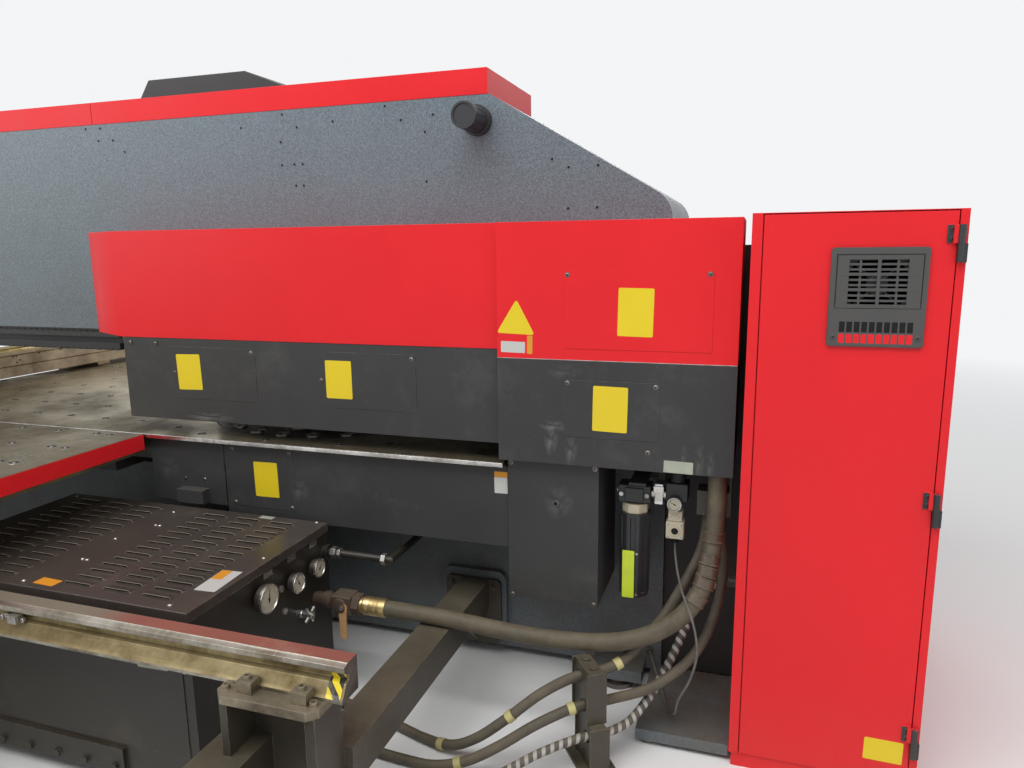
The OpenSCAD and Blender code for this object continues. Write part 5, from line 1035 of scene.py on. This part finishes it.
# %% Yellow triangle
bm = bmesh.new()
bmesh.ops.create_circle(bm, cap_ends=True, segments=3, radius=0.078)
raised = bmesh.ops.extrude_face_region(bm, geom=list(bm.faces))["geom"]
bmesh.ops.translate(bm, vec=(0, 0, 0.0005), verts=[g for g in raised if isinstance(g, bmesh.types.BMVert)])
corners = [e for e in bm.edges if abs(e.verts[0].co.z - e.verts[1].co.z) > 0.0004]
bmesh.ops.bevel(bm, geom=corners, offset=0.012, offset_type="OFFSET", segments=5, profile=0.5,
                affect="EDGES", material=-1)
bmesh.ops.recalc_face_normals(bm, faces=bm.faces)
bmesh.ops.transform(bm, matrix=on_face(1624, -705, 1450, "near", -2), verts=bm.verts)
piece_from(bm, "yellow_triangle", "frame", label_yellow, slot="tan_paint", smooth=35)

# %% [markdown]
# The outer rails carry the side tables. Their section is drawn once as a closed loop
# and extruded along the machine. Each face takes its finish from the side of the
# section it came from: painted back strip, rubbed head, brass-toned web, bright edges.

# %% Feed rails
SECTION = [(0, 540), (0, 640), (48, 640), (52, 637), (66, 634), (66, 618), (58, 612), (45, 605), (45, 590), (60, 585),
           (76, 558), (85, 550), (85, 540)]
SIDES = [2, 0, 1, 1, 1, 1, 2, 2, 2, 2, 2, 3, 2]
RAIL_Y, RAIL_ENDS = 1490, (-2100, 1423)


def add_rail(bm, side):
    """One outer rail, on the far side for 1 and the near side for -1."""
    part = bmesh.new()
    end = part.faces.new([part.verts.new(mm(RAIL_ENDS[0], side * (RAIL_Y + y), z)) for y, z in SECTION])
    made = bmesh.ops.extrude_face_region(part, geom=[end])["geom"]
    bmesh.ops.translate(part, vec=((RAIL_ENDS[1] - RAIL_ENDS[0]) / 1000.0, 0, 0),
                        verts=[g for g in made if isinstance(g, bmesh.types.BMVert)])
    bmesh.ops.recalc_face_normals(part, faces=part.faces)
    middles = [((a[0] + b[0]) / 2, (a[1] + b[1]) / 2) for a, b in zip(SECTION, SECTION[1:] + SECTION[:1])]
    for face in part.faces:
        c = face.calc_center_median() * 1000
        away = [abs(abs(c.y) - RAIL_Y - y) + abs(c.z - z) for y, z in middles]
        face.material_index = 4 if abs(face.normal.x) > 0.9 else SIDES[away.index(min(away))]
    round_edges(part, [e for e in part.edges if e.calc_face_angle(0.0) > math.radians(30)], 1.2)
    join_part(bm, part)


bm = bmesh.new()
for side in (-1, 1):
    add_rail(bm, side)
outer_rails = piece_from(bm, "outer_rails", "frame", rail_paint, rail_head, rail_web, rail_head, dark_steel,
                         slot="rail_steel", smooth=40)

INNER_Y, INNER_ENDS, INNER_Z = (704, 744), (-2145, -480), (800, 830)
bm = bmesh.new()
rails_low, rails_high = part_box("feed_rails")
for side in (-1, 1):
    y0, y1 = sorted(side * y for y in INNER_Y)
    add_block(bm, (INNER_ENDS[0], y0, INNER_Z[0]), (INNER_ENDS[1], y1, INNER_Z[1]), bevel=2)
inner_rails = piece_from(bm, "inner_rails", "frame", rail_head, slot="bright_steel", smooth=40)
for piece in (outer_rails, inner_rails):
    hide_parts("feed_rails")
print("rail box", [round(v, 3) for v in rails_low], [round(v, 3) for v in rails_high])

# %% [markdown]
# Striped tape warns of the rail's end. It follows the web and the foot of the rail as
# a thin skin, and its stripes are a sine across the tape in the material.

# %% Tape on the rail's end
tape, tape_tree, tape_shader = new_material("striped_tape")
tape_place = add_node(tape_tree, "ShaderNodeSeparateXYZ")
tape_tree.links.new(add_node(tape_tree, "ShaderNodeTexCoord").outputs["Object"], tape_place.inputs["Vector"])
slant = math_node(tape_tree, "ADD", tape_place.outputs["X"], tape_place.outputs["Z"])
stripe = ramp(tape_tree, math_node(tape_tree, "SINE", math_node(tape_tree, "MULTIPLY", slant, 150.0)), -0.1, 0.1)
worn = use_group(tape_tree, "smudges", Scale=20.0, Amount=0.8)
clean = mixed(tape_tree, stripe, (0.02, 0.02, 0.02), (0.80, 0.62, 0.03))
striped = mixed(tape_tree, worn, clean, (0.24, 0.20, 0.12))
tape_tree.links.new(striped, tape_shader.inputs["Base Color"])
tape_tree.links.new(ramp(tape_tree, worn, 0.0, 1.0, 0.35, 0.6), tape_shader.inputs["Roughness"])

TAPE_LINE = [(45.3, 605), (45.3, 591), (60.4, 586), (76.4, 559), (85.3, 551)]
TAPE_START, TAPE_END = 1372, 1416
bm = bmesh.new()
for a, b in zip(TAPE_LINE, TAPE_LINE[1:]):
    strip = ((TAPE_START, a), (TAPE_END, a), (TAPE_END, b), (TAPE_START, b))
    bm.faces.new([bm.verts.new(mm(x, -RAIL_Y - y, z)) for x, (y, z) in strip])
bmesh.ops.remove_doubles(bm, verts=bm.verts, dist=1e-5)
bmesh.ops.recalc_face_normals(bm, faces=bm.faces)
if sum(f.normal.y for f in bm.faces) > 0:
    bmesh.ops.reverse_faces(bm, faces=bm.faces)
bmesh.ops.solidify(bm, geom=list(bm.faces), thickness=-0.0005)
piece_from(bm, "rail_tape", "frame", tape, slot="tan_paint")

# %% [markdown]
# A small stop is clamped on the rail under the table: two steel blocks with three
# bright screws. It shows where the side table's roller turns back.

# %% Rail stop
bm = bmesh.new()
add_block(bm, (262, -1572, 586), (296, -1548, 612), bevel=2)
stop_screw = lathe_template("stop_screw", [(0, 5), (3.4, 5), (3.6, 9), (7, 8.6), (7.6, 7), (7.6, 0)], 14)
for x in (222, 246, 306):
    stamp(bm, stop_screw, on_face(x, -1551, 596, "near"))
add_block(bm, (212, -1551, 588), (256, -1545, 604), bevel=1.5)
piece_from(bm, "rail_stop", "frame", tool_steel, slot="tool_steel", smooth=40)

# %% [markdown]
# Ball transfers let sheets slide on the tables: a pressed flange round a ball that
# stands 2.5 mm proud. The CAD node tells where each one is, so its mesh is copied,
# merged and split into islands, and one small template is stamped at each centre.

# %% Ball transfers
def island_centres(node):
    """Centres of the separate solids of a CAD node, from a merged copy of its mesh."""
    bm = bmesh.new()
    bm.from_mesh(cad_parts[node].data)
    bmesh.ops.remove_doubles(bm, verts=bm.verts, dist=1e-5)
    left, centres = set(bm.verts), []
    while left:
        start = left.pop()
        island, border = [start], [start]
        while border:
            for edge in border.pop().link_edges:
                for vert in edge.verts:
                    if vert in left:
                        left.discard(vert)
                        island.append(vert)
                        border.append(vert)
        low = Vector([min(v.co[i] for v in island) for i in range(3)])
        high = Vector([max(v.co[i] for v in island) for i in range(3)])
        centres.append(((low + high) / 2, low, high))
    bm.free()
    return sorted(centres, key=lambda c: tuple(c[0]))


# The ring between ball and flange is flat black (material 1): painted shade of the gap round the ball.
ball_top = lathe_template("ball_top", [(0, 2.5), (3.6, 2.2), (6.0, 1.3), (7.2, 0.25), (15.6, 0.2), (16.0, 0.9),
                                       (18.6, 0.9), (19.4, 0)], 16, [0, 0, 0, 1, 1, 2, 2])
for node, body in (("centre_balls", "frame"), ("side_balls", "feed")):
    bm = bmesh.new()
    found = island_centres(node)
    for centre, low, high in found:
        stamp(bm, ball_top, Matrix.Translation((centre.x, centre.y, low.z)))
    balls = piece_from(bm, node + "_tops", body, bright_steel, ink_and_shade_black, tool_steel, slot="bright_steel", smooth=50)
    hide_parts(node)
    print(node, len(found))

# %% [markdown]
# The beam that carries the clamps has a toothed rack behind its guide and rows of
# small plugged holes along its front. The teeth are one small block stamped along the
# whole beam, and both ride on the beam's body.

# %% Rack teeth and plugs of the beam
RACK_X, RACK_Z, RACK_START, TOOTH_PITCH, TEETH = -1828, 1147, -2514, 12, 420
bm = bmesh.new()
tooth_bm = bmesh.new()
add_block(tooth_bm, (-13, -3, -2), (13, 3, 6))
tooth = template_from(tooth_bm, "rack_tooth")
for k in range(TEETH):
    stamp(bm, tooth, Matrix.Translation(mm(RACK_X, RACK_START + TOOTH_PITCH * k, RACK_Z)))
piece_from(bm, "rack_teeth", "feed", gold_strip, slot="bright_steel")

plug = lathe_template("beam_plug", [(0, 0.3), (5.0, 0.3), (5.4, 0.8), (7.0, 0.5), (7.2, 0)], 12, [1, 1, 0, 0])
BEAM_FACE, PLUG_Z, PLUG_START, PLUG_PITCH, PLUGS = -1765, 1098, -2400, 150, 33
bm = bmesh.new()
for k in range(PLUGS):
    y = PLUG_START + PLUG_PITCH * k
    stamp(bm, plug, on_face(BEAM_FACE, y, PLUG_Z, "right"))
    if k % 4 == 1:
        for dy, z in ((-20, PLUG_Z), (20, 1072), (0, 1060)):
            stamp(bm, plug, on_face(BEAM_FACE, y + dy, z, "right"))
piece_from(bm, "beam_plugs", "feed", beam_steel, ink_and_shade_black, slot="bright_steel")

# %% [markdown]
# Three gauges stand on the tank's right face. Each is a short stem and a case turned on
# a lathe, a pale plain dial with real ticks, and a tapered needle on a small hub.

# %% Helpers for gauges
def set_material(made, index):
    """Gives the faces of newly made vertices a material."""
    for face in {f for v in made["verts"] for f in v.link_faces}:
        face.material_index = index


def add_gauge(bm, radius, depth, place, needle, ticks=25):
    """A gauge that looks along its place's +Z: 0 rim, 1 case, 2 dial, 3 ink."""
    case = [(0, 0), (radius - 6, 0), (radius - 4, 4), (radius - 4, depth - 10), (radius, depth - 10),
            (radius, depth - 1), (radius - 1, depth), (radius - 4, depth), (radius - 5.5, depth - 3),
            (0, depth - 3)]
    add_lathe(bm, case, place, steps=36, materials=[1, 1, 1, 1, 0, 0, 0, 0, 2])
    face = place @ Matrix.Translation(mm(0, 0, depth - 3))
    for k in range(ticks):
        angle = math.radians(45 + 270 * k / (ticks - 1))
        long = radius * (0.20 if k % 6 == 0 else 0.11)
        mark = face @ Matrix.Rotation(angle, 4, "Z") @ Matrix.Translation(mm(radius * 0.80 - long / 2, 0, 0.2))
        stretch = Matrix.Diagonal((long / 1000, 0.0009, 0.0004, 1))
        set_material(bmesh.ops.create_cube(bm, size=1.0, matrix=mark @ stretch), 3)
    hand = face @ Matrix.Rotation(math.radians(needle), 4, "Z")
    made = bmesh.ops.create_cone(bm, cap_ends=True, segments=4, radius1=radius * 0.00006, radius2=radius * 0.000012,
                                 depth=radius * 0.00095, matrix=hand @ Matrix.Translation(mm(radius * 0.25, 0, 1.0))
                                 @ Matrix.Rotation(math.radians(90), 4, "Y"))
    set_material(made, 3)
    add_lathe(bm, [(0, 2.2), (radius * 0.08, 2.2), (radius * 0.1, 0)], face, steps=12, materials=[3, 3])

# %% Pressure gauges
TANK_RIGHT, STEM = 836, 12
bm = bmesh.new()
for y, z, radius, needle in ((-1126, 543, 50, 170), (-954, 522, 37, 205), (-820, 521, 35, 140)):
    add_lathe(bm, [(0, 0), (9, 0), (9, STEM), (0, STEM)], at(TANK_RIGHT, y, z, RIGHT), steps=16,
              materials=[1, 1, 1])
    add_gauge(bm, radius, 32, at(TANK_RIGHT + STEM, y, z, RIGHT), needle)
gauges = piece_from(bm, "gauges_with_dials", "frame", bright_steel, dark_steel, dial_white, ink_and_shade_black,
                    slot="tool_steel", smooth=40)
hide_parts("pressure_gauges")

# %% [markdown]
# The shut-off valve is a rough casting between the tank and the hose: a square body
# with cast bosses, a hexagon nut, and a brass ferrule crimped on the hose in rings.

# %% Shut-off valve and ferrule
def add_prism(bm, sides, radius, length, place, material=0, rim=1.5):
    """A prism with its edges eased, length millimetres along its place's +Z; radius is to its corners."""
    part = bmesh.new()
    bmesh.ops.create_cone(part, cap_ends=True, segments=sides, radius1=radius / 1000, radius2=radius / 1000,
                          depth=length / 1000, matrix=Matrix.Translation(mm(0, 0, length / 2)))
    round_edges(part, part.edges, rim)
    join_part(bm, part, place, material)


HOSE_Y, HOSE_Z = -795, 385
bm = bmesh.new()
add_lathe(bm, [(0, 0), (26, 0), (26, 40), (32, 44), (32, 66), (27, 72), (27, 84), (0, 84)],
          at(TANK_RIGHT, HOSE_Y, HOSE_Z, RIGHT), materials=[0] * 7)
add_block(bm, (920, HOSE_Y - 38, HOSE_Z - 38), (1005, HOSE_Y + 38, HOSE_Z + 38), bevel=9, segments=3)
add_lathe(bm, [(0, 0), (30, 0), (30, 3), (24, 7), (0, 7)], at(962, HOSE_Y - 38, HOSE_Z, FRONT),
          materials=[0] * 4)
add_lathe(bm, [(0, 0), (8, 0), (8, 16), (0, 16)], at(975, HOSE_Y - 38, HOSE_Z, FRONT), steps=16,
          materials=[1] * 3)
add_prism(bm, 6, 41.6, 30, at(1005, HOSE_Y, HOSE_Z, RIGHT), material=2, rim=2)
add_lathe(bm, [(0, 0), (30, 0), (30, 10), (0, 10)], at(1035, HOSE_Y, HOSE_Z, RIGHT), materials=[3] * 3)
FERRULE = [(0, 0), (31, 0), (33, 2), (35, 6), (35, 24), (33.6, 27), (33.6, 31), (35, 34), (35, 56), (33.8, 59),
           (33.8, 63), (35, 66), (35, 90), (33, 94), (30.5, 95), (0, 95)]
add_lathe(bm, FERRULE, at(1045, HOSE_Y, HOSE_Z, RIGHT), steps=40, materials=[3] * 15)
add_lathe(bm, [(0, 0), (15, 0), (15, 18), (12, 22), (12, 28), (0, 28)], at(TANK_RIGHT, -914, 380, RIGHT),
          steps=20, materials=[1] * 5)
add_lathe(bm, [(0, 0), (8, 0), (8, 38), (0, 38)], at(TANK_RIGHT + 28, -914, 380, RIGHT), steps=16,
          materials=[1] * 3)
valve = piece_from(bm, "valve_and_ferrule", "frame", rusty_cast, bright_steel, rusty_cast, brass,
                   slot="brass", smooth=35)
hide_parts("shutoff_valve")

# %% [markdown]
# The return pipe has bright hexagon unions where it leaves the tank and where it turns.
# Three small bolts and three plates on the tank's right face are made beside them.

# %% Pipe unions and small bolts on the tank
bm = bmesh.new()
for x, across, length in ((866, 42, 22), (894, 36, 14), (1084, 40, 18)):
    add_prism(bm, 6, across / math.sqrt(3), length, at(x, -714, 540, RIGHT), rim=1.5)
for y, z in ((-1000, 430), (-1010, 520), (-880, 470)):
    add_prism(bm, 6, 12.7, 10, at(TANK_RIGHT, y, z, RIGHT), rim=1)
for y in (-803, -940, -1077):
    add_block(bm, (840, y - 24, 596), (843, y + 24, 616), bevel=1)
piece_from(bm, "tank_fittings", "frame", tool_steel, slot="tool_steel", smooth=35)

# %% [markdown]
# The lid is held by screws along its edges, with two pairs more on its middle strip.
# The pillar's cover has one round latch, turned on a lathe.

# %% Screws on the lid, the tank and the pillar
LID_SCREWS = [(165, -1430), (165, -1060), (165, -765), (753, -1429), (797, -701), (810, -1051), (225, -1240),
              (205, -1240), (225, -905), (205, -905), (-400, -1430), (-400, -720)]
bm = bmesh.new()
for x, y in LID_SCREWS:
    stamp(bm, button_screw, on_face(x, y, LID_TOP, "top"))
stamp(bm, button_screw, on_face(806, -1456, 455, "near"))
piece_from(bm, "lid_screws", "frame", tool_steel, ink_and_shade_black, slot="tool_steel", smooth=50)

bm = bmesh.new()
# The latch's middle hollow is flat black (material 1): painted shade.
add_lathe(bm, [(0, 2.2), (6, 2.2), (6.5, 4.5), (12, 4.0), (13.5, 2.0), (13.5, 0)], on_face(1754, -670, 812, "near"),
          steps=24, materials=[1, 1, 0, 0, 0])
piece_from(bm, "pillar_latch", "frame", cover_paint, ink_and_shade_black, slot="cover_paint", smooth=40)

# %% [markdown]
# The air filter hangs under the drive cover: a dark cast head, a pale brass ring with
# eight sides, and an eight-sided bowl guard with long slots, a sight strip and a green
# label. Each part starts as a cone of eight sides and is inset and pushed in.

# %% Air filter
FILTER_X, AIR_Y = 2018, -570
bm = bmesh.new()
guard = bmesh.new()
bmesh.ops.create_cone(guard, cap_ends=True, segments=8, radius1=0.055, radius2=0.057, depth=0.306)
round_edges(guard, guard.edges, 2)
walls = [f for f in guard.faces if abs(f.normal.z) < 0.3 and f.calc_area() > 0.008]
bmesh.ops.inset_individual(guard, faces=walls, thickness=0.010, depth=0.0, use_even_offset=True)
bmesh.ops.inset_individual(guard, faces=walls, thickness=0.002, depth=-0.005, use_even_offset=True)
EIGHTH = Matrix.Rotation(math.radians(22.5), 4, "Z")
join_part(bm, guard, Matrix.Translation(mm(FILTER_X, AIR_Y, 627)) @ EIGHTH)
add_prism(bm, 8, 50, 5, at(FILTER_X, AIR_Y, 470) @ EIGHTH, rim=1)
add_prism(bm, 8, 47, 34, at(FILTER_X, AIR_Y, 780) @ EIGHTH, material=1, rim=2.5)
add_lathe(bm, [(0, 0), (32, 0), (32, 5), (0, 5)], at(FILTER_X, AIR_Y, 814), materials=[0] * 3)
add_block(bm, (FILTER_X - 57, AIR_Y - 38, 819), (FILTER_X + 57, AIR_Y + 38, 882), bevel=5, segments=3)
add_block(bm, (FILTER_X - 32, AIR_Y - 46, 824), (FILTER_X + 32, AIR_Y - 37, 874), bevel=4)
add_block(bm, (FILTER_X - 20, AIR_Y - 38, 881), (FILTER_X + 40, -346, 892), bevel=2)
add_block(bm, (FILTER_X - 30, -346, 832), (FILTER_X + 50, -340, 952), bevel=2)
for dx in (-44, 44):
    add_prism(bm, 6, 8.7, 7, at(FILTER_X + dx, AIR_Y - 38, 850, FRONT), material=2, rim=0.8)
add_prism(bm, 6, 10.4, 8, at(FILTER_X - 57, AIR_Y, 850, LEFT), material=2, rim=0.8)
add_plate(bm, 42, 176, 0.6, 3, on_face(FILTER_X - 14, AIR_Y - 53.4, 560, "near"), material=3)
add_block(bm, (FILTER_X + 12, AIR_Y - 56.5, 488), (FILTER_X + 20, AIR_Y - 52, 668), bevel=1.5)
for z in (486, 640):
    add_lathe(bm, [(0, 3), (4, 3), (5, 0)], on_face(FILTER_X + 16, AIR_Y - 56.5, z, "near"), steps=12,
              materials=[2, 2])
air_filter = piece_from(bm, "filter_with_guard", "frame", black_plastic, pale_cast, tool_steel, label_green,
                        slot="cover_paint", smooth=35)
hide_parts("air_filter")

# %% [markdown]
# The regulator sits beside the filter behind a bright coupling, with a white gauge on
# its front, and the pale cast pressure switch hangs under it on its own cable.

# %% Regulator with its gauge
bm = bmesh.new()
add_block(bm, (2087, AIR_Y - 34, 820), (2116, AIR_Y + 26, 893), bevel=3, material=1)
add_block(bm, (2084, AIR_Y - 40, 862), (2119, AIR_Y - 33, 886), bevel=2, material=1)
add_lathe(bm, [(0, 0), (20, 0), (20, 12), (0, 12)], at(2075, AIR_Y, 850, RIGHT), steps=24, materials=[1] * 3)
add_lathe(bm, [(0, 0), (20, 0), (20, 9), (0, 9)], at(2116, AIR_Y, 850, RIGHT), steps=24, materials=[1] * 3)
add_block(bm, (2125, AIR_Y - 36, 835), (2200, AIR_Y + 36, 900), bevel=5, segments=3)
knob = [(0, 0), (26, 0)]
for h in range(0, 25, 5):
    knob += [(28, h + 2), (28, h + 4), (26.4, h + 5), (26.4, h + 6)]
knob += [(26, 29), (22, 30), (0, 30)]
add_lathe(bm, knob, at(2162.5, AIR_Y, 900), steps=24, materials=[0] * (len(knob) - 1))
regulator = piece_from(bm, "regulator_body", "frame", black_plastic, bright_steel, slot="bright_steel", smooth=40)

bm = bmesh.new()
add_gauge(bm, 25, 22, at(2157.5, -606, 832, FRONT), 150, ticks=19)
small_gauge = piece_from(bm, "regulator_gauge", "frame", tool_steel, dark_steel, dial_white, ink_and_shade_black,
                         slot="bright_steel", smooth=40)
for piece in (regulator, small_gauge):
    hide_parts("air_regulator")

# %% Pressure switch
bm = bmesh.new()
add_block(bm, (2129, -612, 703), (2190, -558, 765), bevel=4, segments=3)
add_block(bm, (2136, -606, 764), (2184, -558, 803), bevel=4, segments=3)
add_lathe(bm, [(0, 0), (14, 0), (14, 32), (0, 32)], at(2160, AIR_Y, 803), steps=20, materials=[1] * 3)
add_prism(bm, 6, 17.3, 12, at(2160, AIR_Y, 812), material=1)
# The port's hollow and the screws' sockets are flat black (material 2): painted shade.
add_lathe(bm, [(0, 0.5), (11, 0.5), (12, 2.5), (17, 2.5), (18, 0)], on_face(2160, -612, 733, "near"), steps=24,
          materials=[2, 2, 0, 0])
for dx in (-22, 22):
    for dz in (-22, 22):
        add_lathe(bm, [(0, 0.8), (2, 0.8), (2.2, 2.6), (5, 2.2), (5.6, 0)],
                  on_face(2159.5 + dx, -612, 734 + dz, "near"), steps=12, materials=[2, 2, 1, 1])
for dx in (-14, 14):
    add_lathe(bm, [(0, 0.8), (2, 0.8), (2.2, 2.4), (4.5, 2.0), (5, 0)], on_face(2160 + dx, -606, 784, "near"),
              steps=12, materials=[2, 2, 1, 1])
add_lathe(bm, [(0, 0), (9, 0), (9, 6), (13, 7), (13, 20), (0, 20)], at(2160, -585, 683), steps=20, materials=[2] * 5)
switch = piece_from(bm, "switch_housing", "frame", pale_cast, bright_steel, ink_and_shade_black, slot="pale_cast", smooth=40)
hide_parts("pressure_switch")

# %% [markdown]
# The tank's lid is a tray of folded sheet with six columns of louvres pressed up out of
# it, their mouths towards the front. The tray is a block without its bottom, made
# thick. One louvre is a small grid pulled up into a hood; its open edge is extruded
# twice, for the rubbed lip and for the mouth behind it, which is flat black as painted
# shade, and it is stamped 84 times.

# %% Louvre template
HALF_LONG, HALF_WIDE, RISE = 56, 14, 7.7
hood = bmesh.new()
bmesh.ops.create_grid(hood, x_segments=10, y_segments=4, size=1.0)
for vert in hood.verts:
    across = 1 - (1 - abs(vert.co.x)) ** 2
    round_end = math.sin(math.pi / 2 * min(1.0, (1 - across) / 0.16))
    slope = (1 - math.sin(math.pi / 2 * vert.co.y)) / 2
    vert.co = mm(math.copysign(HALF_LONG * across, vert.co.x), HALF_WIDE * vert.co.y,
                 0.3 + RISE * round_end * slope)
edge = [e for e in hood.edges if all(v.co.y < (0.1 - HALF_WIDE) / 1000 for v in e.verts)]
# Material 2, the mouth, is flat black: painted shade under the hood.
for material, back, keep in ((1, 0.0, 2.2), (2, 3.0, 100.0)):
    made = bmesh.ops.extrude_edge_only(hood, edges=edge)["geom"]
    for vert in [g for g in made if isinstance(g, bmesh.types.BMVert)]:
        vert.co = (vert.co.x, vert.co.y + back / 1000, max(0.0002, vert.co.z - keep / 1000))
    for face in [g for g in made if isinstance(g, bmesh.types.BMFace)]:
        face.material_index = material
    edge = [g for g in made if isinstance(g, bmesh.types.BMEdge) and all(v in made for v in g.verts)]
louvre = template_from(hood, "louvre")
print("louvre faces", len(louvre.polygons))

# %% Lid
LID_MIDDLE, LID_SIZE = (200, -1076, 634), (1.280, 0.768, 0.032)
COLUMNS, ROW_START, ROW_PITCH, ROWS = (676, 520, 362, 38, -120, -276), -1388, 49.5, 14
bm = bmesh.new()
bmesh.ops.create_cube(bm, size=1.0, matrix=Matrix.Translation(mm(*LID_MIDDLE)) @ Matrix.Diagonal((*LID_SIZE, 1.0)))
bmesh.ops.delete(bm, geom=[f for f in bm.faces if f.normal.z < -0.9], context="FACES_ONLY")
round_edges(bm, [e for e in bm.edges if not e.is_boundary], 3)
bmesh.ops.solidify(bm, geom=list(bm.faces), thickness=0.003)
for x in COLUMNS:
    for k in range(ROWS):
        stamp(bm, louvre, Matrix.Translation(mm(x, ROW_START + ROW_PITCH * k, LID_TOP)))
lid = piece_from(bm, "lid_with_louvres", "frame", lid_paint, pale_cast, ink_and_shade_black, slot="tank_paint", smooth=50)
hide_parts("power_lid")
print("lid", [round(c, 3) for c in lid.bound_box[0]], [round(c, 3) for c in lid.bound_box[6]])

# %% [markdown]
# The links of the cable chain show as slanted ticks where their side plates overlap.
# They are raised, and their plastic is paler than the chain's: a painted highlight on the
# plates' edges. A flat guide closes the loop between its two runs.

# %% Chain ticks and guide
CHAIN_FRONT, TICK_STEP, TICK_SLANT = -325, 20, math.radians(-38)
low, high = (corner * 1000 for corner in map(Vector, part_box("cable_chain")))
chain_top = high.z - 8
tick = bmesh.new()
add_block(tick, (-2.2, -1.2, -15), (2.2, 0.2, 15), bevel=0.4, segments=1)
tick = template_from(tick, "tick")
bm = bmesh.new()
for k in range(int((high.x - low.x - 130) / TICK_STEP)):
    middle = Matrix.Translation(mm(low.x + 100 + TICK_STEP * k, CHAIN_FRONT, chain_top - 17))
    stamp(bm, tick, middle @ Matrix.Rotation(TICK_SLANT, 4, "Y"))
# dark_plastic is paler than the chain's black: a painted highlight on the links' edges.
piece_from(bm, "chain_ticks", "frame", dark_plastic, slot="black_plastic")

bm = bmesh.new()
add_block(bm, (low.x + 70, -302, chain_top - 66), (high.x - 5, -298, chain_top - 30), bevel=0.5)
piece_from(bm, "chain_guide", "frame", black_plastic, slot="black_plastic")

# %% [markdown]
# The filter's grille on the door has a blank field with ten windows under its slats,
# where the door's red shows through below painted shade in black, stout bars over the
# slats and a grooved frame whose grooves are black strips of painted shade. They are
# plates about 1 mm thick on the front of the grille.

# %% Front of the filter's grille
GRILLE_Y, FIELD_THICK, WINDOWS, WINDOW_START, WINDOW_PITCH = -788, 1.2, 10, 2618, 19.4
BARS = [(2605, 2635, 1530, 1655, 0.5), (2785, 2820, 1530, 1655, 0.5), (2605, 2820, 1655, 1666.5, 0.8),
        (2707, 2716, 1530, 1656, 1.7), (2612, 2811, 1610, 1618, 1.4), (2612, 2811, 1567, 1575, 1.4)]
GROOVES = [(2602.4, 2604, 1518, 1669), (2821, 2822.6, 1518, 1669), (2602.4, 2822.6, 1667.4, 1669),
           (2602.4, 2822.6, 1518, 1519.6)]


def on_grille(bm, x0, x1, z0, z1, thick, material=0, corner=0.4):
    """A plate on the grille's front, between two corners."""
    middle = on_face((x0 + x1) / 2, GRILLE_Y, (z0 + z1) / 2, "near")
    add_plate(bm, x1 - x0, z1 - z0, thick, corner, middle, material, rim=0.15)


bm = bmesh.new()
on_grille(bm, 2589, 2834, 1412, 1530, FIELD_THICK, corner=4)
for bar in BARS:
    on_grille(bm, *bar)
# The grooves are flat black strips (material 1): painted shade.
for groove in GROOVES:
    on_grille(bm, *groove, 1.5, material=1)
# The upper half of each window is flat black (material 1), painted shade inside the grille; the lower half shows the
# door's red.
for k in range(WINDOWS):
    x = WINDOW_START + WINDOW_PITCH * k
    on_grille(bm, x, x + 15, 1451, 1481, 1.4, material=1)
    on_grille(bm, x, x + 15, 1420, 1446, 1.4, material=2)
for x in (2604, 2821):
    stamp(bm, button_screw, on_face(x, GRILLE_Y - FIELD_THICK, 1437, "near"))
piece_from(bm, "grille_front", "door", dark_plastic, ink_and_shade_black, red_enamel, slot="black_plastic", smooth=35)
